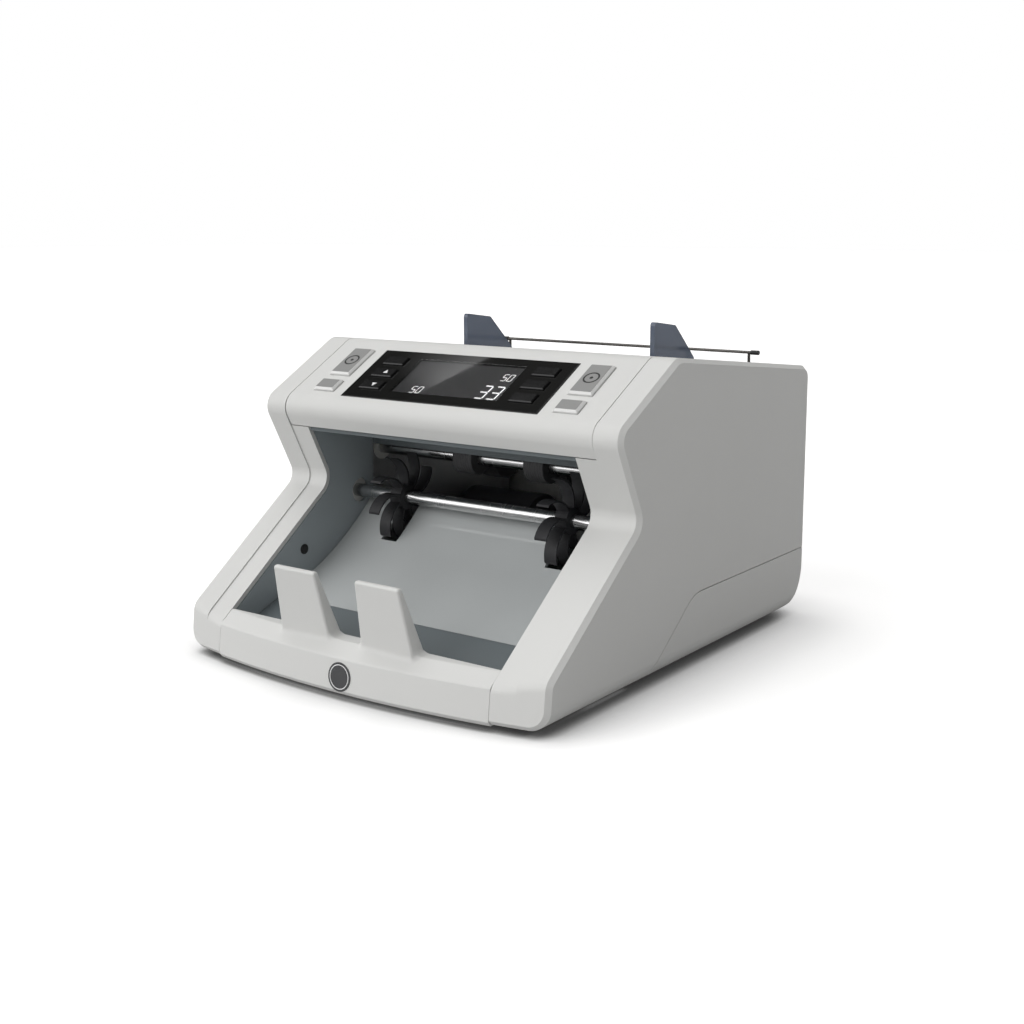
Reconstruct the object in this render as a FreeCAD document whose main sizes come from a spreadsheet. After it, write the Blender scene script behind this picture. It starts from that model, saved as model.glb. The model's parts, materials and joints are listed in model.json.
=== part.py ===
"""Desktop banknote counting machine, modelled as the pieces it comes apart into.

Millimetres. +Z is up, the front faces -Y, X runs to the viewer's right. The origin lies on the table,
under the middle of the machine.
"""
import FreeCAD, Part
import math
import os
import re
import Sketcher

Vector = FreeCAD.Vector

# Driving sizes
SIZES = {
    # casing
    "body_width": 250,
    "body_depth": 295,
    "cover_wall": 2.6,
    "part_gap": 0.5,
    "snug_gap": 0.2,
    "foot_height": 4,
    "bow_radius": 600,
    "front_draft": 6,
    "bevel": 2.4,
    "tuck_round": 11,
    "corner_round": 8,
    # side profile of the casing
    "ridge_y": -14.4,
    "ridge_z": 172.9,
    "ridge_round": 12,
    "top_fall": 5.9,
    "panel_tilt": 29.6,
    "panel_length": 69.1,
    "nose_round": 10,
    "under_drop": 16.1,
    "waist_y": -50,
    "waist_z": 90.5,
    "waist_round": 9,
    "cheek_foot_z": 15.9,
    "rear_round": 8,
    "base_rear_round": 28,
    "groove_front_y": -46,
    "groove_knee_y": 6,
    "groove_z": 42,
    "groove_round": 25,
    # cheeks, pocket and lip
    "side_width": 17.6,
    "cheek_width": 30.8,
    "crease_step": 0.8,
    "liner_thickness": 2,
    "lip_bottom": 3,
    "lip_bend_z": 22,
    "lip_top_z": 28.5,
    "lip_facet_depth": 8.5,
    "lip_depth": 19.1,
    "stop_top_z": 64.5,
    "stop_inner_top": 14,
    "stop_outer_top": 43.3,
    "stop_inner_base": 11,
    "stop_outer_base": 46,
    "stop_front_lean": 7.5,
    "stop_top_depth": 3.6,
    "stop_base_depth": 10,
    "stop_round": 1.4,
    "stop_foot_round": 4,
    "badge_x": 3.6,
    "badge_radius": 7.6,
    "badge_height": 0.3,
    "floor_front_z": 14,
    "plate_foot_y": -92,
    "plate_foot_z": 28.4,
    "plate_top_y": -14,
    "plate_top_z": 74,
    "plate_sag": 6,
    "sheet_thickness": 2,
    # hopper
    "housing_rear_y": 40,
    "housing_rear_z": 130,
    "bed_front_y": 43,
    "bed_front_z": 121,
    "bed_rear_drop": 0.6,
    "guide_thickness": 3,
    "guide_front_y": 51.2,
    "guide_top_z": 186,
    "guide_crown_y": 75.5,
    "guide_rear_y": 100,
    "guide_rear_z": 161,
    "guide_gap": 0.8,
    "guide_travel_in": 22,
    "guide_travel_out": 18,
    "tab_front_y": 90,
    "tab_length": 8,
    "carriage_half": 9,
    "carriage_gap": 1.9,
    "carriage_bottom_z": 117,
    "rack_height": 6,
    "rack_back": 4,
    "rack_reach": 44,
    "pinion_y": 94,
    "pinion_teeth": 12,
    "gear_module": 1.5,
    "pinion_stud_radius": 2.5,
    "wire_radius": 0.9,
    "wire_inset": 9.6,
    "wire_rear_gap": 14.4,
    "wire_z": 164,
    "wire_leg_bottom_z": 118,
    "cap_radius": 1.4,
    "cap_length": 5.4,
    "boss_radius": 3.4,
    "boss_bottom_z": 128,
    # panel controls, measured down the slope from the ridge
    "display_inset": 38.2,
    "display_top": 10.8,
    "display_bottom": 57.6,
    "display_proud": 0.4,
    "bezel_thickness": 3,
    "screen_inset": 15.5,
    "screen_top": 17.4,
    "screen_bottom": 50,
    "window_thickness": 1.2,
    "lcd_thickness": 5,
    "board_depth": 10.6,
    "board_thickness": 1.6,
    "button_inset": 22.4,
    "button_width": 15.2,
    "button_rise": 2,
    "button_bevel": 1,
    "start_top": 12.5,
    "start_bottom": 38.8,
    "clear_top": 44.4,
    "clear_bottom": 54.6,
    "key_inset": 15.7,
    "key_width": 15.4,
    "key_height": 7.6,
    "key_rise": 1.6,
    "key_first": 21.8,
    "key_pitch": 12.1,
    "key_clearance": 0.3,
    "flange_width": 1.2,
    "flange_thickness": 1.2,
    "switch_size": 6,
    "switch_gap": 0.9,
    # frame and shafts
    "frame_gap": 1.6,
    "frame_thickness": 1.6,
    "shaft_radius": 4,
    "bush_radius": 8,
    "bush_flange": 1.5,
    "running_gap": 0.05,
    "pickup_y": 62,
    "pickup_z": 114.6,
    "pickup_radius": 13,
    "feed_y": 30,
    "feed_z": 103,
    "feed_radius": 15,
    "transport_y": 2,
    "transport_z": 104,
    "transport_radius": 10,
    "pinch_z": 122,
    "pinch_radius": 7,
    "tyre_x": 26,
    "tyre_width": 14,
    "stacker_y": -22,
    "stacker_z": 80,
    "stacker_radius": 27,
    "stacker_x": 60,
    "wheel_width": 8,
    "hub_radius": 7.5,
    "fin_count": 9,
    "fin_thickness": 1.3,
    "fin_sweep": 32,
    "separator_y": 28,
    "separator_gap": 0.6,
    "pad_thickness": 4,
    "pad_width": 16,
    "pad_length": 12,
    "bracket_depth": 8,
    "tongue_thickness": 3,
    "sensor_depth": 7,
    "sensor_height": 8,
    "gap_screw_radius": 3.5,
    "gap_screw_z": 147,
    "gap_screw_head": 3,
    "tie_radius": 3,
    # drive
    "pulley_width": 8,
    "pulley_gap": 1,
    "belt_gap": 0.3,
    "belt_thickness": 1.4,
    "belt_width": 6,
    "feed_pulley": 17,
    "pickup_pulley": 11,
    "transport_pulley": 9,
    "motor_pulley": 8,
    "motor_rear_gap": 48.4,
    "motor_z": 44,
    "motor_radius": 21,
    "motor_length": 58,
    "motor_shaft_radius": 2.5,
    "stacker_pulley": 14,
    "stacker_motor_y": 32,
    "stacker_motor_z": 52,
    "stacker_motor_radius": 17,
    "stacker_motor_length": 44,
    # electrics, feet and fasteners
    "main_board_length": 120,
    "main_board_width": 150,
    "board_gap": 9,
    "standoff_height": 5,
    "supply_gap": 22,
    "supply_length": 56,
    "supply_height": 34,
    "inlet_spacing": 30,
    "inlet_z": 62,
    "inlet_width": 28,
    "inlet_height": 20,
    "inlet_depth": 20,
    "socket_wall": 2.4,
    "socket_depth": 15,
    "pin_length": 9,
    "switch_inset": 14,
    "rocker_width": 12,
    "rocker_height": 18,
    "rocker_depth": 6,
    "rocker_dip": 1.2,
    "rocker_tilt": 6,
    "foot_radius": 9,
    "screw_head_radius": 3,
    "screw_head_height": 1.8,
    "screw_radius": 1.5,
    "screw_length": 8,
    "screw_front_y": -80,
    "screw_rear_y": 84,
}

# Sizes that follow from the driving ones
FOLLOWING = {
    "panel_half": "body_width / 2 - side_width",
    "pocket_half": "body_width / 2 - cheek_width",
    "frame_inner": "pocket_half + snug_gap + liner_thickness + frame_gap",
    "lip_rear_y": "lip_depth - body_depth / 2",
    "tray_rear_y": "body_depth / 2 - cover_wall - part_gap",
    "tray_rear_z": "ridge_z - tan(top_fall * 1 deg) * (tray_rear_y - ridge_y)",
    "bed_tilt": "atan((tray_rear_z - bed_rear_drop - bed_front_z) / (tray_rear_y - bed_front_y)) / 1 deg",
    "motor_y": "tray_rear_y - motor_rear_gap",
    "guide_x": "frame_inner - guide_travel_out - carriage_half - carriage_gap",
    "wire_half": "panel_half - wire_inset",
    "wire_leg_x": "wire_half - cap_length - 2 * snug_gap",
    "wire_y": "tray_rear_y - wire_rear_gap",
    "display_half": "panel_half - display_inset",
    "key_x": "display_half - key_inset",
    "screen_half": "key_x - screen_inset",
    "button_x": "panel_half - button_inset",
    "foot_x": "body_width / 2 - 3 * foot_radius",
    "foot_front_y": "lip_rear_y + 2.7 * foot_radius",
    "foot_rear_y": "body_depth / 2 - base_rear_round - 1.5 * foot_radius",
    "screw_x": "foot_x - 2 * foot_radius",
    "supply_width": "screw_x - 2 * screw_head_radius + frame_inner - motor_length - supply_gap",
    "supply_x": "screw_x - 2 * screw_head_radius - supply_width / 2",
    "supply_y": "body_depth / 2 - base_rear_round - supply_length / 2 - part_gap",
    "main_board_y": "supply_y - supply_length / 2 - board_gap - main_board_length / 2",
    "switch_x": "frame_inner - switch_inset",
    "inlet_x": "switch_x - inlet_spacing",
}

doc = FreeCAD.newDocument("NoteCounter")
sheet = doc.addObject("Spreadsheet::Sheet", "Sizes")
for row, (name, number) in enumerate(SIZES.items(), start=1):
    sheet.set(f"A{row}", name)
    sheet.set(f"B{row}", str(number))
    sheet.setAlias(f"B{row}", name)
doc.recompute()


def formula(text):
    """Expression text whose size names point at the sheet, with the following sizes written out."""
    def cell(word):
        name = word[0]
        if name in FOLLOWING:
            return f"({formula(FOLLOWING[name])})"
        return f"Sizes.{name}" if name in SIZES else name
    return re.sub(r"[a-z]\w*", cell, text)


def value(text):
    """Number that a formula gives now."""
    return float(sheet.evalExpression(formula(text)))


class SheetReader:
    """Sizes as attributes, always read from the sheet."""

    def __getattr__(self, name):
        return value(name)


size = SheetReader()


# Places that several pieces share, as formulas
OUTER = "body_width / 2"
REAR = "body_depth / 2"
BASE_FLOOR = "foot_height + cover_wall"


def casing_corners():
    """Side profile of the casing above the groove, as (y, z, radius) corners from ridge to rear."""
    tilt = math.radians(size.panel_tilt)
    fall = math.tan(math.radians(size.top_fall))
    nose_y = size.ridge_y - size.panel_length * math.cos(tilt)
    nose_z = size.ridge_z - size.panel_length * math.sin(tilt)
    rear = size.body_depth / 2
    slope = (size.waist_z - size.cheek_foot_z) / (size.waist_y + rear)
    front = -rear - size.corner_round
    rear_top = size.ridge_z - fall * (rear - size.ridge_y)
    groove_rear_z = size.groove_z + size.part_gap
    return [
        (size.ridge_y, size.ridge_z, size.ridge_round),
        (nose_y, nose_z, size.nose_round),
        (size.waist_y, size.waist_z, size.waist_round),
        (front, size.waist_z + slope * (front - size.waist_y), 0),
        (front, size.foot_height, 0),
        (size.groove_front_y, size.foot_height, 0),
        (size.groove_knee_y, groove_rear_z, size.groove_round),
        (rear, groove_rear_z, 0),
        (rear, rear_top, size.rear_round),
    ]


def under_edge():
    """Lower front edge of the control panel: square to the slope, below the nose."""
    tilt = math.radians(size.panel_tilt)
    _, (nose_y, nose_z, _), *_ = casing_corners()
    return nose_y + size.under_drop * math.sin(tilt), nose_z - size.under_drop * math.cos(tilt)


def top_at(y):
    """Height of the casing's top, behind the ridge."""
    return size.ridge_z - math.tan(math.radians(size.top_fall)) * (y - size.ridge_y)


def bed_at(y):
    """Height of the hopper bed's upper face."""
    return size.bed_front_z + math.tan(math.radians(size.bed_tilt)) * (y - size.bed_front_y)


def bed_under(y):
    """Height of the hopper bed's lower face."""
    return bed_at(y) - size.cover_wall / math.cos(math.radians(size.bed_tilt))


# Outlines and solids by hand, for the moulded shells

def unit(start, end):
    """Length-one direction from one plane point to another."""
    length = math.dist(start, end)
    return (end[0] - start[0]) / length, (end[1] - start[1]) / length


def inset(corners, depths):
    """Corners of the outline moved inwards; depths holds one distance for each side, from corner 0 on."""
    count = len(corners)
    area = sum(corners[i][0] * corners[(i + 1) % count][1] - corners[(i + 1) % count][0] * corners[i][1]
               for i in range(count))
    turn = 1 if area > 0 else -1
    lines = []
    for i in range(count):
        u, v = unit(corners[i][:2], corners[(i + 1) % count][:2])
        normal = (-v * turn, u * turn)
        lines.append((corners[i][0] + normal[0] * depths[i], corners[i][1] + normal[1] * depths[i], u, v))
    moved = []
    for i in range(count):
        y1, z1, u1, v1 = lines[i - 1]
        y2, z2, u2, v2 = lines[i]
        cross = u1 * v2 - v1 * u2
        along = ((y2 - y1) * v2 - (z2 - z1) * u2) / cross
        convex = cross * turn > 0
        depth = max(depths[i - 1], depths[i], 0)
        radius = corners[i][2]
        if radius > 0:
            radius = max(radius - depth, 0) if convex else radius + depth
        moved.append((y1 + u1 * along, z1 + v1 * along, radius))
    return moved


def outline_edges(corners, point, closed=True):
    """Lines and arcs through (u, v, radius) corners; point turns a plane pair into a place in space."""
    count = len(corners)
    stations = []
    for i, (u, v, radius) in enumerate(corners):
        if radius <= 0 or (not closed and i in (0, count - 1)):
            stations.append(((u, v), None, (u, v)))
            continue
        back = unit((u, v), corners[i - 1][:2])
        ahead = unit((u, v), corners[(i + 1) % count][:2])
        half = math.acos(max(-1, min(1, back[0] * ahead[0] + back[1] * ahead[1]))) / 2
        reach = radius / math.tan(half)
        middle = unit((0, 0), (back[0] + ahead[0], back[1] + ahead[1]))
        depth = radius / math.sin(half) - radius
        stations.append((
            (u + back[0] * reach, v + back[1] * reach),
            (u + middle[0] * depth, v + middle[1] * depth),
            (u + ahead[0] * reach, v + ahead[1] * reach),
        ))
    edges = []
    for i, (first, bend, last) in enumerate(stations):
        if bend:
            edges.append(Part.Arc(point(*first), point(*bend), point(*last)).toShape())
        if closed or i < count - 1:
            following = stations[(i + 1) % count][0]
            if math.dist(last, following) > 1e-6:
                edges.append(Part.makeLine(point(*last), point(*following)))
    return edges


def prism_x(corners, start, end):
    """Solid with the given side profile, between two X planes."""
    wire = Part.Wire(outline_edges(corners, lambda y, z: Vector(start, y, z)))
    return Part.Face(wire).extrude(Vector(end - start, 0, 0))


def prism_z(corners, start, end):
    """Solid with the given plan, between two levels."""
    wire = Part.Wire(outline_edges(corners, lambda x, y: Vector(x, y, start)))
    return Part.Face(wire).extrude(Vector(0, 0, end - start))


def block(low, high):
    """Box between two corners."""
    return Part.makeBox(high[0] - low[0], high[1] - low[1], high[2] - low[2], Vector(*low))


def drum_x(radius, start, end, y, z):
    """Cylinder along X."""
    return Part.makeCylinder(radius, end - start, Vector(start, y, z), Vector(1, 0, 0))


def bow_solid(inner=0):
    """Leaning round body whose front is the bowed front of the casing, moved inwards by inner."""
    height = size.ridge_z
    radius = size.bow_radius - inner
    lean = math.tan(math.radians(size.front_draft)) * height
    centre = Vector(0, -size.body_depth / 2 + size.bow_radius, size.lip_bottom)
    drop = Vector(0, 0, size.lip_bottom)
    foot = Part.makeCylinder(radius, size.lip_bottom, centre - drop)
    return foot.fuse(Part.makeCone(radius, radius - lean, height, centre)).removeSplitter()


def tucked(shape, depth=0):
    """Shape whose two lower side corners are rounded, on a curve that lies depth inside the casing."""
    length = size.body_depth
    radius = size.tuck_round
    inner = size.body_width / 2 - radius
    low = size.foot_height
    for side in (-1, 1):
        near, far = sorted((side * inner, side * (inner + 2 * radius)))
        corner = block((near, -length, low - radius), (far, length, low + radius))
        centre = Vector(side * inner, -length, low + radius)
        curve = Part.makeCylinder(radius - depth, 2 * length, centre, Vector(0, 1, 0))
        shape = shape.cut(corner.cut(curve))
    return shape


def edges_where(shape, test):
    """Edges of a shape whose middle point passes the test."""
    return [edge for edge in shape.Edges
            if test(edge.valueAt((edge.FirstParameter + edge.LastParameter) / 2))]


# Pieces of the document

nodes = {}


def keep(label, piece):
    """Name a finished piece."""
    piece.Label = label
    nodes[label] = piece
    return piece


def moulding(label, shape):
    """Finished piece with a shape made by hand."""
    piece = doc.addObject("Part::Feature", label)
    piece.Shape = shape
    piece.Placement = FreeCAD.Placement()
    return keep(label, piece)


def mirrored(source, name):
    """The same piece on the other side of the middle plane."""
    twin = doc.addObject("Part::Mirroring", name)
    twin.Source = source
    twin.Base = Vector(0, 0, 0)
    twin.Normal = Vector(1, 0, 0)
    return twin


def group(label, pieces):
    """Several separate solids in one node."""
    bundle = doc.addObject("Part::Compound", label)
    bundle.Links = pieces
    return keep(label, bundle)


def new_body(name):
    return doc.addObject("PartDesign::Body", name)


def sketch_on(body, plane, start):
    """Empty sketch on one of the body's own planes, start millimetres along the positive axis."""
    sketch = body.newObject("Sketcher::SketchObject", body.Name + "_sketch")
    role = plane + "_Plane"
    origin_plane = next(item for item in body.Origin.OriginFeatures if item.Role == role)
    sketch.AttachmentSupport = [(origin_plane, "")]
    sketch.MapMode = "FlatFace"
    sign = "-1 * " if plane == "XZ" else ""
    sketch.setExpression(".AttachmentOffset.Base.z", formula(f"{sign}({start})"))
    return sketch


def pin_point(sketch, geometry, position, place):
    """Hold a sketch point at a pair of formulas."""
    for kind, text in zip(("DistanceX", "DistanceY"), place):
        rule = Sketcher.Constraint(kind, -1, 1, geometry, position, value(text))
        index = sketch.addConstraint(rule)
        sketch.setExpression(f"Constraints[{index}]", formula(text))


def draw_outline(sketch, corners):
    """Straight closed outline through pairs of formulas."""
    places = [Vector(value(u), value(v), 0) for u, v in corners]
    count = len(corners)
    for i in range(count):
        sketch.addGeometry(Part.LineSegment(places[i], places[(i + 1) % count]))
    for i in range(count):
        sketch.addConstraint(Sketcher.Constraint("Coincident", i, 2, (i + 1) % count, 1))
    for i, corner in enumerate(corners):
        pin_point(sketch, i, 1, corner)


def draw_circle(sketch, centre, radius):
    """Circle with a formula for its radius and a pair of formulas for its centre."""
    place = Vector(value(centre[0]), value(centre[1]), 0)
    index = sketch.addGeometry(Part.Circle(place, Vector(0, 0, 1), value(radius)))
    pin_point(sketch, index, 3, centre)
    rule = sketch.addConstraint(Sketcher.Constraint("Radius", index, value(radius)))
    sketch.setExpression(f"Constraints[{rule}]", formula(radius))


def grow(body, kind, plane, start, length, draw):
    """Pad or pocket from start along the positive axis; draw fills the sketch."""
    sketch = sketch_on(body, plane, start)
    draw(sketch)
    feature = body.newObject(f"PartDesign::{kind}", f"{body.Name}_{kind.lower()}")
    feature.Profile = sketch
    feature.setExpression("Length", formula(length))
    feature.Reversed = (plane == "XZ") == (kind == "Pad")
    return feature


def pad(body, plane, start, length, corners):
    return grow(body, "Pad", plane, start, length, lambda sketch: draw_outline(sketch, corners))


def pocket(body, plane, start, length, corners):
    return grow(body, "Pocket", plane, start, length, lambda sketch: draw_outline(sketch, corners))


def round_pad(body, plane, start, length, centre, radius):
    return grow(body, "Pad", plane, start, length, lambda sketch: draw_circle(sketch, centre, radius))


def round_pocket(body, plane, start, length, centre, radius):
    return grow(body, "Pocket", plane, start, length, lambda sketch: draw_circle(sketch, centre, radius))


def rectangle(u0, u1, v0, v1):
    return [(u0, v0), (u1, v0), (u1, v1), (u0, v1)]


def dress(body, kind, amount, test):
    """Fillet or chamfer on the tip's edges whose middle passes the test."""
    doc.recompute()
    base = body.Tip
    names = [f"Edge{i}" for i, edge in enumerate(base.Shape.Edges, start=1)
             if test(edge.valueAt((edge.FirstParameter + edge.LastParameter) / 2))]
    feature = body.newObject(f"PartDesign::{kind}", f"{body.Name}_{kind.lower()}")
    feature.Base = (base, names)
    feature.setExpression("Radius" if kind == "Fillet" else "Size", formula(amount))
    return feature


AXIS_TURN = {
    "X": FreeCAD.Rotation(Vector(0, 1, 0), 90),
    "Y": FreeCAD.Rotation(Vector(1, 0, 0), -90),
    "Z": FreeCAD.Rotation(),
}


def cylinder(name, axis, radius, length, base):
    """Cylinder along an axis from a base point given as three formulas."""
    piece = doc.addObject("Part::Cylinder", name)
    piece.setExpression("Radius", formula(radius))
    piece.setExpression("Height", formula(length))
    piece.Placement = FreeCAD.Placement(Vector(), AXIS_TURN[axis])
    for letter, text in zip("xyz", base):
        piece.setExpression(f".Placement.Base.{letter}", formula(text))
    return piece


def box(name, low, spans):
    """Box from its low corner and its three spans, all formulas."""
    piece = doc.addObject("Part::Box", name)
    for side, text in zip(("Length", "Width", "Height"), spans):
        piece.setExpression(side, formula(text))
    for letter, text in zip("xyz", low):
        piece.setExpression(f".Placement.Base.{letter}", formula(text))
    return piece


def cut(name, base, tools):
    """One piece less several others."""
    result = base
    for i, tool in enumerate(tools):
        feature = doc.addObject("Part::Cut", f"{name}_cut{i}")
        feature.Base = result
        feature.Tool = tool
        result = feature
    return result


def fuse(name, pieces):
    """Several pieces as one solid."""
    feature = doc.addObject("Part::MultiFuse", name)
    feature.Shapes = pieces
    feature.Refine = True
    return feature


def ring_x(name, radius, bore, start, length, y, z):
    """Sleeve along X."""
    outer = cylinder(f"{name}_outer", "X", radius, length, (start, y, z))
    inner = cylinder(f"{name}_bore", "X", bore, f"{length} + 2", (f"{start} - 1", y, z))
    return cut(name, outer, [inner])


def on_panel(piece):
    """Set a piece that is drawn in the panel's own frame: y up the slope from the ridge, z outwards."""
    turn = FreeCAD.Rotation(Vector(1, 0, 0), size.panel_tilt)
    piece.Placement = FreeCAD.Placement(Vector(0, size.ridge_y, size.ridge_z), turn)
    piece.setExpression(".Placement.Base.y", formula("ridge_y"))
    piece.setExpression(".Placement.Base.z", formula("ridge_z"))
    piece.setExpression(".Placement.Rotation.Angle", formula("panel_tilt"))
    return piece


def panel_placement():
    turn = FreeCAD.Rotation(Vector(1, 0, 0), size.panel_tilt)
    return FreeCAD.Placement(Vector(0, size.ridge_y, size.ridge_z), turn)


# Casing: side covers

OPEN = -12
RIM_SIDES = ("slope", "nose", "cheek", "front", "bottom", "groove_slope", "groove", "rear", "top")


def rim_depths(**depths):
    """Inset of each side of the casing profile; sides that aren't named stay open."""
    return [depths.get(side, OPEN) for side in RIM_SIDES]


def side_cover_shape():
    """Right side cover: a bevelled shell, with the cheek's inner band beside the pocket."""
    corners = casing_corners()
    wall = size.cover_wall
    step = size.crease_step
    seam = size.panel_half + size.part_gap
    outer = size.body_width / 2
    _, under_z = under_edge()

    def rounded_foot(shape, near, far):
        """Soften the bend between the cheek's slope and its front."""
        bend = edges_where(shape, lambda p: near + 0.1 < p.x < far - 0.1 and p.y < size.lip_rear_y
                           and p.z > size.lip_bend_z / 2)
        return shape.makeFillet(size.corner_round, bend)

    shell = tucked(rounded_foot(prism_x(corners, seam, outer).common(bow_solid()), seam, outer))
    tuck_z = size.foot_height + size.tuck_round

    def on_rim(p):
        behind_groove = p.y > size.groove_front_y - 1 and p.z < size.groove_z + 1
        at_side = abs(p.x - outer) < 0.01 and p.z > tuck_z + 0.01
        at_tuck = p.y < size.lip_rear_y and p.z < tuck_z and outer - size.tuck_round < p.x < outer
        return at_tuck or at_side and not behind_groove

    shell = shell.makeChamfer(size.bevel, edges_where(shell, on_rim))
    hollow = inset(corners, rim_depths(slope=wall, nose=wall, cheek=wall, rear=wall, top=wall))
    room = prism_x(hollow, seam - 1, outer - wall).common(bow_solid(wall))
    shell = shell.cut(tucked(room, wall))

    face = inset(corners, rim_depths(nose=step, cheek=step, front=0, bottom=0, rear=0, top=0, slope=0,
                                     groove=0, groove_slope=0))
    back = inset(corners, rim_depths(nose=step + wall, cheek=step + wall))
    start = size.pocket_half + size.snug_gap
    band = rounded_foot(prism_x(face, start, seam + 1).common(bow_solid()), start, seam + 1)
    toe = edges_where(band, lambda p: p.y < size.lip_rear_y and abs(p.z - size.foot_height) < 0.01
                      and start + 0.1 < p.x < seam + 0.9)
    band = band.makeChamfer(size.bevel, toe)
    band = band.cut(prism_x(back, start - 1, seam + 2).common(bow_solid(wall)))
    upper = block((0, -size.body_depth, under_z - size.part_gap), (outer, size.body_depth, 2 * size.ridge_z))
    rear = block((0, size.waist_y + size.waist_round, 0), (outer, size.body_depth, 2 * size.ridge_z))
    return shell.fuse(band.cut(upper).cut(rear)).removeSplitter()


right_cover = moulding("right_side_cover", side_cover_shape())
keep("left_side_cover", mirrored(right_cover, "left_side_cover"))


# Casing: base tray

def base_corners():
    """Side profile of the base tray, below the groove."""
    rear = size.body_depth / 2
    return [
        (size.groove_front_y + size.part_gap, size.foot_height, 0),
        (rear, size.foot_height, size.base_rear_round),
        (rear, size.groove_z, 0),
        (size.groove_knee_y, size.groove_z, size.groove_round),
    ]


def corner_places(x, front_y, rear_y):
    """Four places, two on each side."""
    return [(side * x, y) for side in (-1, 1) for y in (front_y, rear_y)]


def base_shape():
    """Tray with side walls up to the groove, a front floor, board posts and screw bosses."""
    wall = size.cover_wall
    outer = size.body_width / 2
    floor = size.foot_height + wall
    tray = prism_x(base_corners(), -outer, outer)
    rim = edges_where(tray, lambda p: abs(abs(p.x) - outer) < 0.01 and p.z < size.groove_z - 1
                      and p.y > size.groove_knee_y + size.groove_round)
    tray = tray.makeChamfer(size.bevel, rim)
    hollow = prism_x(inset(base_corners(), [wall, wall, OPEN, OPEN]), wall - outer, outer - wall)
    apron_half = outer - size.tuck_round - wall - size.part_gap
    apron = block((-apron_half, size.lip_rear_y + size.part_gap, size.foot_height),
                  (apron_half, size.groove_front_y + 2, floor))
    tray = tucked(tray).cut(tucked(hollow, wall)).fuse(apron)
    board_x = size.main_board_width / 2 - size.screw_head_radius
    board_y = size.main_board_length / 2 - size.screw_head_radius
    for x, y in corner_places(board_x, size.main_board_y - board_y, size.main_board_y + board_y):
        foot = Vector(x, y, floor)
        tray = tray.fuse(Part.makeCylinder(size.screw_head_radius, size.standoff_height, foot))
    for x, y in corner_places(size.screw_x, size.screw_front_y, size.screw_rear_y):
        boss = Part.makeCylinder(2 * size.screw_radius, size.screw_length, Vector(x, y, floor))
        bore = Part.makeCylinder(size.screw_radius + size.running_gap, size.screw_length + size.running_gap,
                                 Vector(x, y, size.foot_height))
        tray = tray.fuse(boss).cut(bore)
    return tray.removeSplitter()


moulding("base_tray", base_shape())


# Casing: control panel housing

def button_spans():
    """Cap outlines on the panel as (name, centre x, top, bottom)."""
    spans = []
    for side, sign in (("left", -1), ("right", 1)):
        spans.append((f"start_button_{side}", f"{sign} * button_x", "start_top", "start_bottom"))
        spans.append((f"clear_button_{side}", f"{sign} * button_x", "clear_top", "clear_bottom"))
    return spans


def key_spans():
    """The six black keys, in two columns."""
    spans = []
    for side, sign in (("left", -1), ("right", 1)):
        for row, place in enumerate(("top", "middle", "bottom")):
            centre = f"key_first + {row} * key_pitch"
            spans.append((f"{place}_key_{side}", f"{sign} * key_x",
                          f"{centre} - key_height / 2", f"{centre} + key_height / 2"))
    return spans


def panel_block(span, top, bottom, low, high):
    """Box in the panel's own frame, between two X values and two distances down the slope."""
    shape = block((span[0], -bottom, low), (span[1], -top, high))
    shape.Placement = panel_placement().multiply(shape.Placement)
    return shape


def housing_shape():
    """Housing of the controls: top, slope, nose and rear wall, with openings and board posts."""
    wall = size.cover_wall
    half = size.panel_half
    ridge, nose, *_ = casing_corners()
    under_y, under_z = under_edge()
    corners = [
        (size.housing_rear_y, top_at(size.housing_rear_y), size.corner_round / 2),
        ridge,
        nose,
        (under_y, under_z, 0),
        (size.housing_rear_y, size.housing_rear_z, 0),
    ]
    shape = prism_x(corners, -half, half)
    shape = shape.cut(prism_x(inset(corners, [wall, wall, wall, OPEN, wall]), wall - half, half - wall))
    play = size.snug_gap
    shape = shape.cut(panel_block((-size.display_half - play, size.display_half + play),
                                  size.display_top - play, size.display_bottom + play, -2 * wall, 2 * wall))
    reach = size.button_width / 2 + size.key_clearance
    for _, x, top, bottom in button_spans():
        shape = shape.cut(panel_block((value(x) - reach, value(x) + reach), value(top) - size.key_clearance,
                                      value(bottom) + size.key_clearance, -2 * wall, 2 * wall))
    post_x = (size.display_half + size.button_x - size.button_width / 2 - size.flange_width) / 2
    for x, y in corner_places(post_x, -size.start_top, -size.clear_top):
        foot = Vector(x, y, -size.board_depth)
        post = Part.makeCylinder(size.screw_radius, size.board_depth - wall / 2, foot)
        post.Placement = panel_placement().multiply(post.Placement)
        shape = shape.fuse(post)
    hole = Part.makeCylinder(size.gap_screw_radius / 2 + size.running_gap, 4 * wall,
                             Vector(0, size.housing_rear_y - 2 * wall, size.gap_screw_z), Vector(0, 1, 0))
    return shape.cut(hole).removeSplitter()


moulding("panel_housing", housing_shape())


# Casing: front lip with its stops, and the badge

def lip_corners():
    """Section of the lip at the middle of the machine, with a bevelled toe."""
    front = -size.body_depth / 2
    lean = math.tan(math.radians(size.front_draft))
    bend_y = front + lean * (size.lip_bend_z - size.lip_bottom)
    rear = size.lip_rear_y + size.corner_round
    return [
        (front + size.bevel, size.lip_bottom, 0),
        (front + lean * size.bevel, size.lip_bottom + size.bevel, 0),
        (bend_y, size.lip_bend_z, 2),
        (bend_y + size.lip_facet_depth, size.lip_top_z, 2),
        (rear, size.lip_top_z, 0),
        (rear, size.lip_bottom, 0),
    ]


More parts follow.
